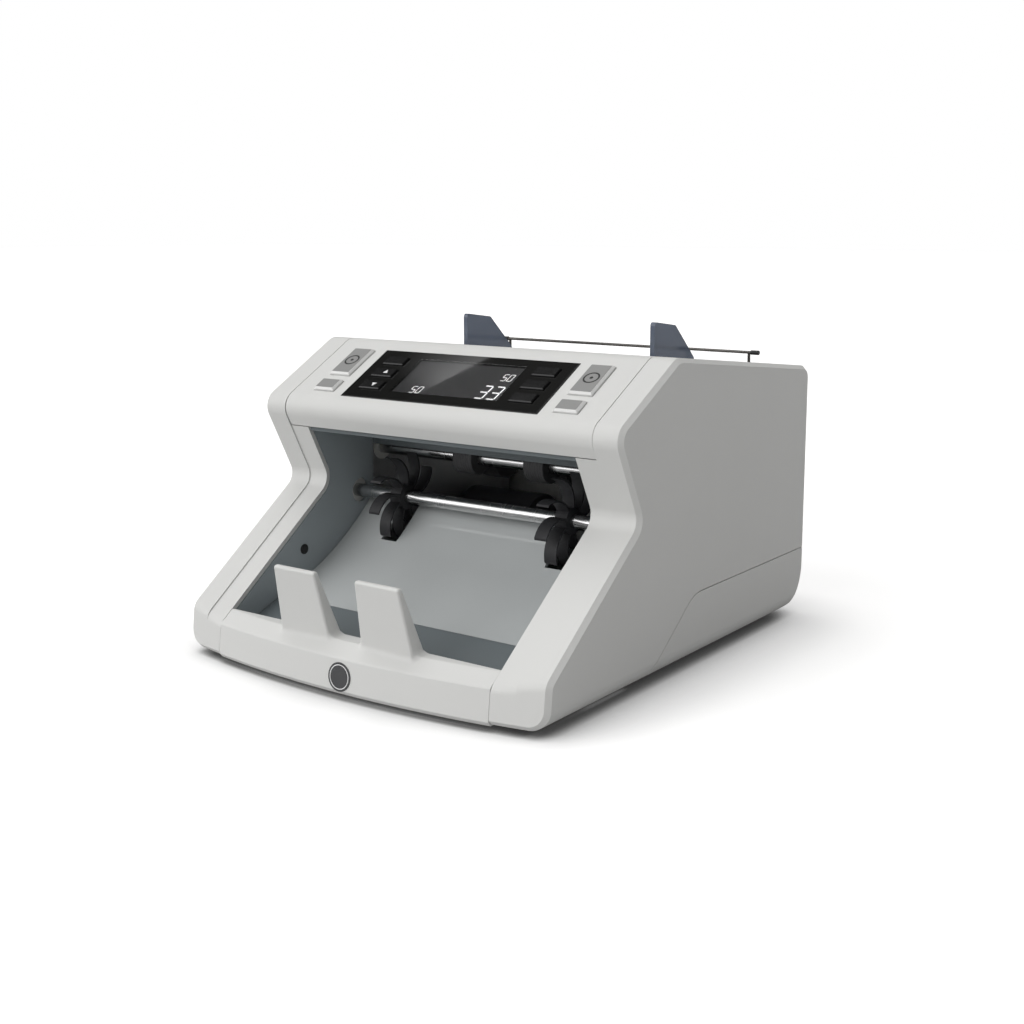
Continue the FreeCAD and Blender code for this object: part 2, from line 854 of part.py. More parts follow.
def swept_along_bow(corners):
    """Section carried round the bow of the front, past both ends of the lip."""
    reach = 1.2 * math.degrees(math.asin(size.pocket_half / size.bow_radius))
    face = Part.Face(Part.Wire(outline_edges(corners, lambda y, z: Vector(0, y, z))))
    centre = Vector(0, size.bow_radius - size.body_depth / 2, 0)
    up = Vector(0, 0, 1)
    face.rotate(centre, up, -reach)
    return face.revolve(centre, up, 2 * reach)


def stop_shape(side):
    """One tapered stop, leaning forwards, drawn on down into the lip."""
    base_z = size.lip_bend_z - 1
    share = (size.lip_top_z - base_z) / (size.stop_top_z - size.lip_top_z)
    front = size.lip_rear_y - size.stop_base_depth
    top_front = front - size.stop_front_lean
    top = (size.stop_inner_top, size.stop_outer_top, top_front, top_front + size.stop_top_depth)
    foot = (size.stop_inner_base, size.stop_outer_base, front, size.lip_rear_y)
    base = [low + (low - high) * share for low, high in zip(foot, top)]
    rims = []
    for z, (inner, outer, near, far) in ((base_z, base), (size.stop_top_z, top)):
        places = [(side * inner, near), (side * outer, near), (side * outer, far), (side * inner, far)]
        rims.append(Part.makePolygon([Vector(x, y, z) for x, y in places + places[:1]]))
    stop = Part.makeLoft(rims, True, True)
    return stop.makeFillet(size.stop_round, edges_where(stop, lambda p: p.z > base_z + 1))


def lip_shape():
    """Hollow front lip between the cheeks, with the stops blended into its top."""
    wall = size.cover_wall
    half = size.pocket_half
    lip = swept_along_bow(lip_corners())
    for side in (-1, 1):
        lip = lip.fuse(stop_shape(side))
    lip = lip.removeSplitter()

    def at_foot(p):
        across = size.stop_inner_base - 2 < abs(p.x) < size.stop_outer_base + 2
        along = p.y + size.body_depth / 2
        on_top = size.lip_facet_depth / 2 < along < size.lip_depth + size.corner_round / 2
        return across and on_top and size.lip_bend_z < p.z < size.lip_top_z + 0.3

    lip = lip.makeFillet(size.stop_foot_round, edges_where(lip, at_foot))
    lip = lip.common(block((-half, -size.body_depth, 0), (half, size.lip_rear_y, 2 * size.stop_top_z)))
    return lip.cut(swept_along_bow(inset(lip_corners(), [wall, wall, wall, wall, OPEN, OPEN]))).removeSplitter()


moulding("front_lip", lip_shape())


def badge_shape():
    """Plain round badge on the lip's front."""
    lean = math.radians(size.front_draft)
    z = (size.lip_bottom + size.lip_bend_z) / 2
    y = -size.body_depth / 2 + math.tan(lean) * (z - size.lip_bottom)
    outwards = Vector(0, -math.cos(lean), math.sin(lean))
    centre = Vector(size.badge_x, y, z)
    disc = Part.makeCylinder(size.badge_radius, size.badge_height, centre, outwards)
    rim = edges_where(disc, lambda p: (p - centre).dot(outwards) > size.badge_height / 2)
    return disc.makeFillet(size.badge_height / 3, rim[:1])


moulding("lip_badge", badge_shape())


# Pocket

floor_body = new_body("pocket_floor")
pad(floor_body, "YZ", "snug_gap - pocket_half", "2 * (pocket_half - snug_gap)", [
    ("lip_rear_y + part_gap", "floor_front_z"),
    ("plate_foot_y - part_gap", "plate_foot_z"),
    ("plate_foot_y - part_gap", "plate_foot_z - sheet_thickness"),
    ("lip_rear_y + part_gap", "floor_front_z - sheet_thickness"),
])
keep("pocket_floor", floor_body)


def stacker_plate_shape():
    """Glossy curved sheet that the notes stand against, slotted for the finned wheels."""
    foot = (size.plate_foot_y, size.plate_foot_z)
    top = (size.plate_top_y, size.plate_top_z)
    u, v = unit(foot, top)
    below = (v, -u)
    half = size.pocket_half - size.snug_gap

    def on_arc(place, depth):
        return Vector(-half, place[0] + below[0] * depth, place[1] + below[1] * depth)

    middle = ((foot[0] + top[0]) / 2, (foot[1] + top[1]) / 2)
    thick = size.sheet_thickness
    upper = Part.Arc(on_arc(foot, 0), on_arc(middle, size.plate_sag), on_arc(top, 0)).toShape()
    end = Part.makeLine(on_arc(top, 0), on_arc(top, thick))
    dip = size.plate_sag + thick
    lower = Part.Arc(on_arc(top, thick), on_arc(middle, dip), on_arc(foot, thick)).toShape()
    start = Part.makeLine(on_arc(foot, thick), on_arc(foot, 0))
    sheet_solid = Part.Face(Part.Wire([upper, end, lower, start])).extrude(Vector(2 * half, 0, 0))
    for side in (-1, 1):
        reach = size.wheel_width / 2 + 2
        near = side * size.stacker_x - reach
        slot = drum_x(size.stacker_radius + 1.5, near, near + 2 * reach, size.stacker_y, size.stacker_z)
        sheet_solid = sheet_solid.cut(slot)
    return sheet_solid


moulding("stacker_plate", stacker_plate_shape())


def pocket_walls_shape():
    """Dark walls on both sides of the pocket, behind the cheeks."""
    clear = size.crease_step + size.cover_wall + size.part_gap
    lined = inset(casing_corners(), rim_depths(nose=clear, cheek=clear, slope=0, top=0))
    _, nose, waist, foot, *_ = lined
    _, under_z = under_edge()
    top = under_z - size.sheet_thickness - 2 * size.part_gap
    front = size.lip_rear_y + size.part_gap
    bottom = size.foot_height + size.cover_wall + size.part_gap
    rear = size.stacker_y + size.hub_radius + size.shaft_radius
    corners = [
        (nose[0] + (waist[0] - nose[0]) * (nose[1] - top) / (nose[1] - waist[1]), top, 0),
        waist,
        (front, waist[1] + (foot[1] - waist[1]) * (front - waist[0]) / (foot[0] - waist[0]), 0),
        (front, bottom, 0),
        (size.waist_y, bottom, 0),
        (rear, size.plate_top_z - size.stacker_radius, 0),
        (rear, top, 0),
    ]
    inner = size.pocket_half + size.snug_gap
    wall = prism_x(corners, inner, inner + size.liner_thickness)
    room = drum_x(size.hub_radius, inner - 1, size.frame_inner, size.stacker_y, size.stacker_z)
    wall = wall.cut(room)
    return Part.makeCompound([wall, wall.mirror(Vector(), Vector(1, 0, 0))])


moulding("pocket_walls", pocket_walls_shape())

ceiling = new_body("pocket_ceiling")
NOSE_Z = "ridge_z - panel_length * sin(panel_tilt * 1 deg)"
NOSE_Y = "ridge_y - panel_length * cos(panel_tilt * 1 deg)"
CEILING_TOP = f"{NOSE_Z} - under_drop * cos(panel_tilt * 1 deg) - part_gap"
CEILING_FRONT = f"{NOSE_Y} + under_drop * sin(panel_tilt * 1 deg) + 2"
CHUTE = "transport_y - pinch_radius - 2 * sheet_thickness"
pad(ceiling, "YZ", "snug_gap - pocket_half", "2 * (pocket_half - snug_gap)", [
    (CEILING_FRONT, CEILING_TOP),
    (CHUTE, CEILING_TOP),
    (CHUTE, "stacker_z + stacker_radius + 1"),
    (f"{CHUTE} - sheet_thickness", "stacker_z + stacker_radius + 1"),
    (f"{CHUTE} - sheet_thickness", f"{CEILING_TOP} - sheet_thickness"),
    (CEILING_FRONT, f"{CEILING_TOP} - sheet_thickness"),
])
keep("pocket_ceiling", ceiling)


# Hopper

def hopper_tray_shape():
    """Sloping bed with side and rear walls, slots, wire bosses and the pinion's stud."""
    wall = size.cover_wall
    half = size.panel_half
    front = size.bed_front_y
    rear = size.tray_rear_y
    gap = size.part_gap
    tray = prism_x([(front, bed_under(front), 0), (rear, bed_under(rear), 0), (rear, top_at(rear) - gap, 0),
                    (front, top_at(front) - gap, 0)], -half, half)
    inside = rear - wall
    before = front + OPEN
    sky = 2 * size.ridge_z
    tray = tray.cut(prism_x([(before, bed_at(before), 0), (inside, bed_at(inside), 0), (inside, sky, 0),
                             (before, sky, 0)], wall - half, half - wall))
    for side in (-1, 1):
        reach = size.tyre_width / 2 + 1
        room = size.pickup_radius + 1.5
        tray = tray.cut(block((side * size.tyre_x - reach, size.pickup_y - room, 0),
                              (side * size.tyre_x + reach, size.pickup_y + room, sky)))
        near = size.guide_x - size.guide_travel_in - size.guide_thickness
        far = size.guide_x + size.guide_travel_out + size.guide_thickness
        ends = sorted((side * near, side * far))
        slot_front = size.tab_front_y - size.key_clearance
        slot_rear = slot_front + size.tab_length + 2 * size.key_clearance
        tray = tray.cut(block((ends[0], slot_front, 0), (ends[1], slot_rear, sky)))
        foot = Vector(side * size.wire_leg_x, size.wire_y, size.boss_bottom_z)
        tray = tray.fuse(Part.makeCylinder(size.boss_radius, bed_at(size.wire_y) - size.boss_bottom_z, foot))
        tray = tray.cut(Part.makeCylinder(size.wire_radius + size.running_gap, sky, foot))
    root = bed_at(size.pinion_y) - wall / 2
    stud_foot = size.carriage_bottom_z - 1
    collar_foot = size.carriage_bottom_z + size.rack_height + size.key_clearance
    for radius, foot in ((size.pinion_stud_radius, stud_foot), (2 * size.pinion_stud_radius, collar_foot)):
        tray = tray.fuse(Part.makeCylinder(radius, root - foot, Vector(0, size.pinion_y, foot)))
    return tray.removeSplitter()


moulding("hopper_tray", hopper_tray_shape())

TOOTH_RISE = 0.8
TOOTH_DROP = 1.1
ROOT_SHARE = 0.24
TIP_SHARE = 0.11


def pitch_radius():
    return size.gear_module * size.pinion_teeth / 2


def rack_outline(side, start, end):
    """Plan of a rack that faces the pinion from the front (-1) or the rear (1)."""
    step = math.pi * size.gear_module
    line = size.pinion_y + side * pitch_radius()
    root = line + side * TOOTH_DROP * size.gear_module
    tip = line - side * TOOTH_RISE * size.gear_module
    back = root + side * size.rack_back
    places = [(start, back, 0), (start, root, 0)]
    first = math.ceil(start / step + ROOT_SHARE - 0.5)
    last = math.floor(end / step - ROOT_SHARE - 0.5)
    for tooth in range(first, last + 1):
        middle = (tooth + 0.5) * step
        for offset, level in ((-ROOT_SHARE, root), (-TIP_SHARE, tip), (TIP_SHARE, tip), (ROOT_SHARE, root)):
            places.append((middle + offset * step, level, 0))
    return places + [(end, root, 0), (end, back, 0)]


def guide_shape(side):
    """Upright guide blade, its tab through the bed, and the carriage with its rack below."""
    half = size.guide_thickness / 2
    x = side * size.guide_x
    front = size.guide_front_y
    rear = size.guide_rear_y
    lift = size.guide_gap
    crown_z = size.guide_top_z - (size.guide_crown_y - front) / 8
    blade = prism_x([
        (front, bed_at(front) + lift, 0),
        (rear, bed_at(rear) + lift, 0),
        (rear, size.guide_rear_z, size.corner_round),
        (size.guide_crown_y, crown_z, 3),
        (front, size.guide_top_z, 2),
    ], x - half, x + half)
    tab = block((x - half, size.tab_front_y, size.carriage_bottom_z),
                (x + half, size.tab_front_y + size.tab_length, bed_at(size.tab_front_y) + 3 * lift))
    line = size.pinion_y + side * pitch_radius()
    back = line + side * (TOOTH_DROP * size.gear_module + size.rack_back)
    other = size.tab_front_y if side > 0 else size.tab_front_y + size.tab_length
    near, far = sorted((back, other))
    clear = size.key_clearance
    carriage = prism_x([
        (near, size.carriage_bottom_z, 0),
        (far, size.carriage_bottom_z, 0),
        (far, bed_under(far) - clear, 0),
        (near, bed_under(near) - clear, 0),
    ], x - size.carriage_half, x + size.carriage_half)
    ends = sorted((x, -side * size.rack_reach))
    floor = size.carriage_bottom_z
    rack = prism_z(rack_outline(side, *ends), floor, floor + size.rack_height)
    return blade.fuse(tab).fuse(carriage).fuse(rack).removeSplitter()


moulding("left_note_guide", guide_shape(-1))
moulding("right_note_guide", guide_shape(1))


def pinion_shape():
    """Toothed wheel that makes both guides move by the same amount."""
    teeth = int(size.pinion_teeth)
    turn = 2 * math.pi / teeth
    root = pitch_radius() - TOOTH_DROP * size.gear_module
    tip = pitch_radius() + TOOTH_RISE * size.gear_module
    places = []
    for tooth in range(teeth):
        middle = tooth * turn - math.pi / 2
        for share, radius in ((-ROOT_SHARE, root), (-TIP_SHARE, tip), (TIP_SHARE, tip), (ROOT_SHARE, root)):
            angle = middle + share * turn
            places.append((radius * math.cos(angle), size.pinion_y + radius * math.sin(angle), 0))
    low = size.carriage_bottom_z
    wheel = prism_z(places, low, low + size.rack_height)
    bore = Part.makeCylinder(size.pinion_stud_radius + size.running_gap, size.rack_height,
                             Vector(0, size.pinion_y, low))
    return wheel.cut(bore)


moulding("guide_pinion", pinion_shape())

bar = cylinder("note_rest_bar", "X", "wire_radius", "2 * wire_half", ("-wire_half", "wire_y", "wire_z"))
legs = [cylinder(f"note_rest_leg{i}", "Z", "wire_radius", "wire_z - wire_leg_bottom_z",
                 (f"{sign} * wire_leg_x", "wire_y", "wire_leg_bottom_z")) for i, sign in enumerate((-1, 1))]
keep("note_rest", fuse("note_rest", [bar] + legs))
cap = cylinder("rest_cap_outer", "X", "cap_radius", "cap_length",
               ("wire_half + 1 - cap_length", "wire_y", "wire_z"))
cap_bore = cylinder("rest_cap_bore", "X", "wire_radius", "cap_length",
                    ("wire_half - cap_length", "wire_y", "wire_z"))
right_cap = cut("rest_cap", cap, [cap_bore])
group("note_rest_caps", [right_cap, mirrored(right_cap, "rest_cap_left")])

SWITCH_WIDTH = "rocker_width + 2 * socket_wall"
SWITCH_HEIGHT = "rocker_height + 2 * socket_wall"
rear_cover = new_body("rear_cover")
pad(rear_cover, "XZ", f"{REAR} - cover_wall", "cover_wall", rectangle(
    "-panel_half", "panel_half", "groove_z + part_gap",
    f"ridge_z - tan(top_fall * 1 deg) * ({REAR} - ridge_y) - part_gap"))
for row in range(5):
    level = f"inlet_z + inlet_height + {row} * 8"
    pocket(rear_cover, "XZ", f"{REAR} - 2 * cover_wall", "3 * cover_wall",
           rectangle("-panel_half / 2", "panel_half / 2", level, f"{level} + cover_wall"))
for x, width, height in (("inlet_x", "inlet_width", "inlet_height"),
                         ("switch_x", SWITCH_WIDTH, SWITCH_HEIGHT)):
    across = f"({width}) / 2 + snug_gap"
    along = f"({height}) / 2 + snug_gap"
    pocket(rear_cover, "XZ", f"{REAR} - 2 * cover_wall", "3 * cover_wall",
           rectangle(f"{x} - ({across})", f"{x} + {across}", f"inlet_z - ({along})", f"inlet_z + {along}"))
keep("rear_cover", rear_cover)


# Panel controls, in the panel's own frame

CAP_FOOT = "0 - cover_wall - snug_gap - flange_thickness"
ALL_SPANS = ([(*span, "button_width", "button_rise", "button_bevel") for span in button_spans()]
             + [(*span, "key_width", "key_rise", "button_bevel / 2") for span in key_spans()])

bezel = new_body("display_bezel")
pad(bezel, "XY", "display_proud - bezel_thickness", "bezel_thickness",
    rectangle("-display_half", "display_half", "-display_bottom", "-display_top"))
pocket(bezel, "XY", "-2 * bezel_thickness", "4 * bezel_thickness",
       rectangle("-screen_half", "screen_half", "-screen_bottom", "-screen_top"))
for name, x, top, bottom in key_spans():
    pocket(bezel, "XY", "-2 * bezel_thickness", "4 * bezel_thickness", rectangle(
        f"{x} - key_width / 2 - key_clearance", f"{x} + key_width / 2 + key_clearance",
        f"-({bottom}) - key_clearance", f"-({top}) + key_clearance"))
dress(bezel, "Fillet", "display_proud", lambda p: abs(p.z - size.display_proud) < 0.01
      and (abs(abs(p.x) - size.display_half) < 0.01 or abs(p.y + size.display_top) < 0.01
           or abs(p.y + size.display_bottom) < 0.01))
keep("display_bezel", on_panel(bezel))

SCREEN = rectangle("snug_gap - screen_half", "screen_half - snug_gap",
                   "snug_gap - screen_bottom", "-screen_top - snug_gap")
window = new_body("display_window")
pad(window, "XY", "display_proud - window_thickness", "window_thickness", SCREEN)
keep("display_window", on_panel(window))

lcd = new_body("lcd_module")
pad(lcd, "XY", "-cover_wall - snug_gap - lcd_thickness", "lcd_thickness", rectangle(
    "-screen_half - 3", "screen_half + 3", "-screen_bottom - 4", "-screen_top + 4"))
pad(lcd, "XY", "-cover_wall - snug_gap", "cover_wall + display_proud - window_thickness", SCREEN)
keep("lcd_module", on_panel(lcd))

board = new_body("panel_board_plate")
pad(board, "XY", "-board_depth - board_thickness", "board_thickness", rectangle(
    "-button_x - button_width / 2 - 3", "button_x + button_width / 2 + 3", "-clear_bottom", "-display_top"))
board_pieces = [on_panel(board)]
for name, x, top, bottom, *_ in ALL_SPANS:
    key_switch = new_body(f"{name}_switch")
    middle = f"-(({top}) + ({bottom})) / 2"
    pad(key_switch, "XY", "-board_depth", f"board_depth + ({CAP_FOOT}) - switch_gap", rectangle(
        f"{x} - switch_size / 2", f"{x} + switch_size / 2",
        f"{middle} - switch_size / 2", f"{middle} + switch_size / 2"))
    board_pieces.append(on_panel(key_switch))
group("panel_board", board_pieces)

for name, x, top, bottom, width, rise, edge in ALL_SPANS:
    button = new_body(name)
    pad(button, "XY", CAP_FOOT, f"{rise} - ({CAP_FOOT})",
        rectangle(f"{x} - {width} / 2", f"{x} + {width} / 2", f"-({bottom})", f"-({top})"))
    pad(button, "XY", CAP_FOOT, "flange_thickness", rectangle(
        f"{x} - {width} / 2 - flange_width", f"{x} + {width} / 2 + flange_width",
        f"-({bottom}) - flange_width", f"-({top}) + flange_width"))
    crown = value(rise)
    dress(button, "Chamfer", edge, lambda p: abs(p.z - crown) < 0.01)
    keep(name, on_panel(button))


# Frame, shafts and rollers

SHAFTS = {
    "pickup": ("pickup_y", "pickup_z"),
    "feed": ("feed_y", "feed_z"),
    "transport": ("transport_y", "transport_z"),
    "stacker": ("stacker_y", "stacker_z"),
}
FRAME_OUT = "frame_inner + frame_thickness"
BUSH_BORE = "shaft_radius + running_gap"
BED_LINE = ("bed_front_z + tan(bed_tilt * 1 deg) * ({y} - bed_front_y)"
            " - cover_wall / cos(bed_tilt * 1 deg) - snug_gap")


def frame_plate(name):
    """Right frame plate with its foot, bush holes and motor shaft hole."""
    plate = new_body(name)
    front = "stacker_y - hub_radius - shaft_radius"
    knee = "transport_y - pinch_radius - shaft_radius"
    top = "housing_rear_z - part_gap"
    rear = "tray_rear_y - 3 * cover_wall"
    foot_rear = f"{REAR} - base_rear_round - cover_wall"
    tray_front = "bed_front_y - part_gap"
    pad(plate, "YZ", "frame_inner", "frame_thickness", [
        (front, BASE_FLOOR),
        (foot_rear, BASE_FLOOR),
        (rear, "base_rear_round + cover_wall + foot_height"),
        (rear, BED_LINE.format(y=f"({rear})")),
        (tray_front, BED_LINE.format(y=f"({tray_front})")),
        ("bed_front_y - cover_wall", top),
        (knee, top),
        (front, "stacker_z + stacker_radius / 2"),
    ])
    pad(plate, "YZ", "frame_inner", "4 * frame_thickness",
        rectangle(front, foot_rear, BASE_FLOOR, f"{BASE_FLOOR} + frame_thickness"))
    holes = [(*place, "bush_radius + running_gap") for place in SHAFTS.values()]
    holes.append(("transport_y", "pinch_z", "shaft_radius - 1 + running_gap"))
    holes.append(("motor_y", "motor_z", "motor_shaft_radius + 1"))
    holes.append(("stacker_motor_y", "stacker_motor_z", "motor_shaft_radius + 1"))
    for y, z, radius in holes:
        round_pocket(plate, "YZ", "frame_inner - 1", "frame_thickness + 2", (y, z), radius)
    return plate


right_plate = frame_plate("right_frame")
group("frame_plates", [right_plate, mirrored(right_plate, "left_frame")])

bushes = []
for name, (y, z) in SHAFTS.items():
    bush = ring_x(f"{name}_bush", "bush_radius", BUSH_BORE, "frame_inner - bush_flange / 2",
                  "bush_flange / 2 + frame_thickness + bush_flange", y, z)
    bushes += [bush, mirrored(bush, f"{name}_bush_left")]
group("shaft_bushes", bushes)

TIES = (("tray_rear_y - 12", "inlet_z + 34"), ("pickup_y + pickup_radius + 8", "pickup_z - 12"),
        ("stacker_y + 10", "plate_top_z - 40"))
group("tie_rods", [cylinder(f"tie_rod{i}", "X", "tie_radius", "2 * frame_inner", ("-frame_inner", y, z))
                   for i, (y, z) in enumerate(TIES)])

PULLEY_IN = "panel_half + pulley_gap"


def shaft_with_pulley(name, pulley, drive_side):
    """Steel shaft through both bushes, with the pulley on its driven end."""
    y, z = SHAFTS[name]
    plain = f"{FRAME_OUT} + bush_flange"
    driven = f"{PULLEY_IN} + pulley_width + 1"
    low, high = (driven, plain) if drive_side < 0 else (plain, driven)
    rod = cylinder(f"{name}_rod", "X", "shaft_radius", f"{low} + {high}", (f"-({low})", y, z))
    start = f"-({PULLEY_IN} + pulley_width)" if drive_side < 0 else PULLEY_IN
    wheel = cylinder(f"{name}_wheel", "X", pulley, "pulley_width", (start, y, z))
    return keep(f"{name}_shaft", fuse(f"{name}_shaft", [rod, wheel]))


def tyre_pair(label, radius, bore, y, z, x="tyre_x", width="tyre_width"):
    """Two rubber sleeves, one on each side of the middle."""
    sleeve = ring_x(f"{label}_right", radius, bore, f"{x} - {width} / 2", width, y, z)
    return group(label, [sleeve, mirrored(sleeve, f"{label}_left")])


for name, pulley, side in (("pickup", "pickup_pulley", -1), ("feed", "feed_pulley", -1),
                           ("transport", "transport_pulley", -1), ("stacker", "stacker_pulley", 1)):
    shaft_with_pulley(name, pulley, side)
for name in ("pickup", "feed", "transport"):
    tyre_pair(f"{name}_tyres", f"{name}_radius", BUSH_BORE, *SHAFTS[name])

pinch_rod = cylinder("pinch_rod", "X", "shaft_radius - 1", f"2 * ({FRAME_OUT})",
                     (f"-({FRAME_OUT})", "transport_y", "pinch_z"))
pinch_pieces = [cylinder(f"pinch_roller{i}", "X", "pinch_radius", "tyre_width",
                         (f"{sign} * tyre_x - tyre_width / 2", "transport_y", "pinch_z"))
                for i, sign in enumerate((-1, 1))]
keep("pinch_rollers", fuse("pinch_rollers", [pinch_rod] + pinch_pieces))


def stacker_wheels_shape():
    """Two soft wheels of swept fins that stand the notes up in the pocket."""
    half = size.wheel_width / 2
    hub = drum_x(size.hub_radius, -half, half, 0, 0)
    sweep = math.radians(size.fin_sweep)
    mid = (size.hub_radius + size.stacker_radius) / 2
    wheel = hub
    for fin in range(int(size.fin_count)):
        start = 2 * math.pi * fin / size.fin_count

        def place(radius, share, lift):
            angle = start + sweep * share
            across = angle + math.pi / 2
            return Vector(-half, radius * math.cos(angle) + lift * math.cos(across),
                          radius * math.sin(angle) + lift * math.sin(across))

        inner = size.hub_radius - 1
        thick = size.fin_thickness
        tip_radius = size.stacker_radius
        front = Part.Arc(place(inner, 0, 0), place(mid, 0.35, 0), place(tip_radius, 1, 0)).toShape()
        back = Part.Arc(place(tip_radius, 1, thick), place(mid, 0.35, thick),
                        place(inner, 0, thick)).toShape()
        tip = Part.makeLine(place(tip_radius, 1, 0), place(tip_radius, 1, thick))
        root = Part.makeLine(place(inner, 0, thick), place(inner, 0, 0))
        blade = Part.Face(Part.Wire([front, tip, back, root])).extrude(Vector(size.wheel_width, 0, 0))
        wheel = wheel.fuse(blade)
    bore = drum_x(size.shaft_radius + size.running_gap, -2 * half, 2 * half, 0, 0)
    wheel = wheel.cut(bore).removeSplitter()
    pair = []
    for side in (-1, 1):
        copy = wheel.copy()
        copy.translate(Vector(side * size.stacker_x, size.stacker_y, size.stacker_z))
        pair.append(copy)
    return Part.makeCompound(pair)


moulding("stacker_wheels", stacker_wheels_shape())

PAD_FOOT = "feed_z + feed_radius + separator_gap"
pad_block = box("separator_pad", ("tyre_x - pad_width / 2", "separator_y - pad_length / 2", PAD_FOOT),
                ("pad_width", "pad_length", "pad_thickness"))
group("separator_pads", [pad_block, mirrored(pad_block, "separator_pad_left")])
BEAM_FRONT = "separator_y - bracket_depth / 2"
beam = new_body("separator_bracket")
pad(beam, "XY", f"{PAD_FOOT} + pad_thickness", f"housing_rear_z - ({PAD_FOOT}) - pad_thickness - part_gap",
    rectangle("-frame_inner", "frame_inner", BEAM_FRONT, "separator_y + bracket_depth / 2"))
pad(beam, "XY", f"{PAD_FOOT} + pad_thickness", f"gap_screw_z + 6 - ({PAD_FOOT}) - pad_thickness",
    rectangle("-2 * gap_screw_radius", "2 * gap_screw_radius",
              BEAM_FRONT, f"{BEAM_FRONT} + tongue_thickness"))
keep("separator_bracket", beam)
screw_tip = f"{BEAM_FRONT} + tongue_thickness + key_clearance"
shank = cylinder("gap_screw_shank", "Y", "gap_screw_radius / 2",
                 f"housing_rear_y + part_gap - ({screw_tip})", ("0", screw_tip, "gap_screw_z"))
head = cylinder("gap_screw_knob", "Y", "gap_screw_radius", "gap_screw_head",
                ("0", "housing_rear_y + part_gap", "gap_screw_z"))
slot = box("gap_screw_slot", ("-gap_screw_radius", "housing_rear_y + part_gap + gap_screw_head / 2",
                              "gap_screw_z - 0.5"), ("2 * gap_screw_radius", "gap_screw_head", "1"))
keep("gap_screw", cut("gap_screw", fuse("gap_screw_body", [shank, head]), [slot]))
keep("sensor_bar", box("sensor_bar", ("-frame_inner", "transport_y + pinch_radius + 2", f"{PAD_FOOT} + 0.4"),
                       ("2 * frame_inner", "sensor_depth", "sensor_height")))


# Drive

def belt_loop(wheels, extra, x):
    """Closed line round the outside of several wheels, given anticlockwise as (y, z, radius)."""
    count = len(wheels)
    touches = []
    for i in range(count):
        y1, z1, r1 = wheels[i]
        y2, z2, r2 = wheels[(i + 1) % count]
        r1 += extra
        r2 += extra
        span = math.dist((y1, z1), (y2, z2))
        angle = math.atan2(z2 - z1, y2 - y1) - math.acos((r1 - r2) / span)
        across = (math.cos(angle), math.sin(angle))
        leave = (y1 + r1 * across[0], z1 + r1 * across[1])
        arrive = (y2 + r2 * across[0], z2 + r2 * across[1])
        touches.append((leave, arrive))
    edges = []
    for i in range(count):
        y, z, radius = wheels[i]
        arrive = touches[i - 1][1]
        leave = touches[i][0]
        a = math.atan2(arrive[1] - z, arrive[0] - y)
        b = math.atan2(leave[1] - z, leave[0] - y)
        while b < a:
            b += 2 * math.pi
        bend = (y + (radius + extra) * math.cos((a + b) / 2), z + (radius + extra) * math.sin((a + b) / 2))
        edges.append(Part.Arc(Vector(x, *arrive), Vector(x, *bend), Vector(x, *leave)).toShape())
        edges.append(Part.makeLine(Vector(x, *leave), Vector(x, *touches[i][1])))
    return Part.Wire(edges)


def belt_shape(wheels, side):
    """Flat belt round the wheels, a running gap off them."""
    middle = side * (value(PULLEY_IN) + size.pulley_width / 2)
    start = middle - size.belt_width / 2
    run = Vector(size.belt_width, 0, 0)
    outer = Part.Face(belt_loop(wheels, size.belt_gap + size.belt_thickness, start)).extrude(run)
    return outer.cut(Part.Face(belt_loop(wheels, size.belt_gap, start)).extrude(run))


moulding("feed_belt", belt_shape([
    (size.motor_y, size.motor_z, size.motor_pulley),
    (size.pickup_y, size.pickup_z, size.pickup_pulley),
    (size.feed_y, size.feed_z, size.feed_pulley),
    (size.transport_y, size.transport_z, size.transport_pulley),
], -1))
moulding("stacker_belt", belt_shape([
    (size.stacker_motor_y, size.stacker_motor_z, size.motor_pulley),
    (size.stacker_y, size.stacker_z, size.stacker_pulley),
], 1))


def motor(label, side, y, z, radius, length):
    """Can motor on the inner face of a frame plate, bored for its own shaft."""
    start = "-frame_inner" if side < 0 else f"frame_inner - {length}"
    can = cylinder(f"{label}_can", "X", radius, length, (start, y, z))
    bore_start = "-frame_inner - 1" if side < 0 else "frame_inner - 9"
    bore = cylinder(f"{label}_bore", "X", "motor_shaft_radius + running_gap", "10", (bore_start, y, z))
    keep(label, cut(label, can, [bore]))
    reach = f"{PULLEY_IN} + pulley_width + 1"
    low = f"-({reach})" if side < 0 else "frame_inner - 8"
    rod = cylinder(f"{label}_rod", "X", "motor_shaft_radius", f"{reach} - frame_inner + 8", (low, y, z))
    wheel_low = f"-({PULLEY_IN} + pulley_width)" if side < 0 else PULLEY_IN
    wheel = cylinder(f"{label}_wheel", "X", "motor_pulley", "pulley_width", (wheel_low, y, z))
    keep(f"{label}_shaft", fuse(f"{label}_shaft", [rod, wheel]))


motor("feed_motor", -1, "motor_y", "motor_z", "motor_radius", "motor_length")
motor("stacker_motor", 1, "stacker_motor_y", "stacker_motor_z", "stacker_motor_radius",
      "stacker_motor_length")


# Electrics

BOARD_FLOOR = f"{BASE_FLOOR} + standoff_height"
keep("main_board", box("main_board",
                       ("-main_board_width / 2", "main_board_y - main_board_length / 2", BOARD_FLOOR),
                       ("main_board_width", "main_board_length", "board_thickness")))
keep("power_supply", box("power_supply",
                         ("supply_x - supply_width / 2", "supply_y - supply_length / 2", BASE_FLOOR),
                         ("supply_width", "supply_length", "supply_height")))

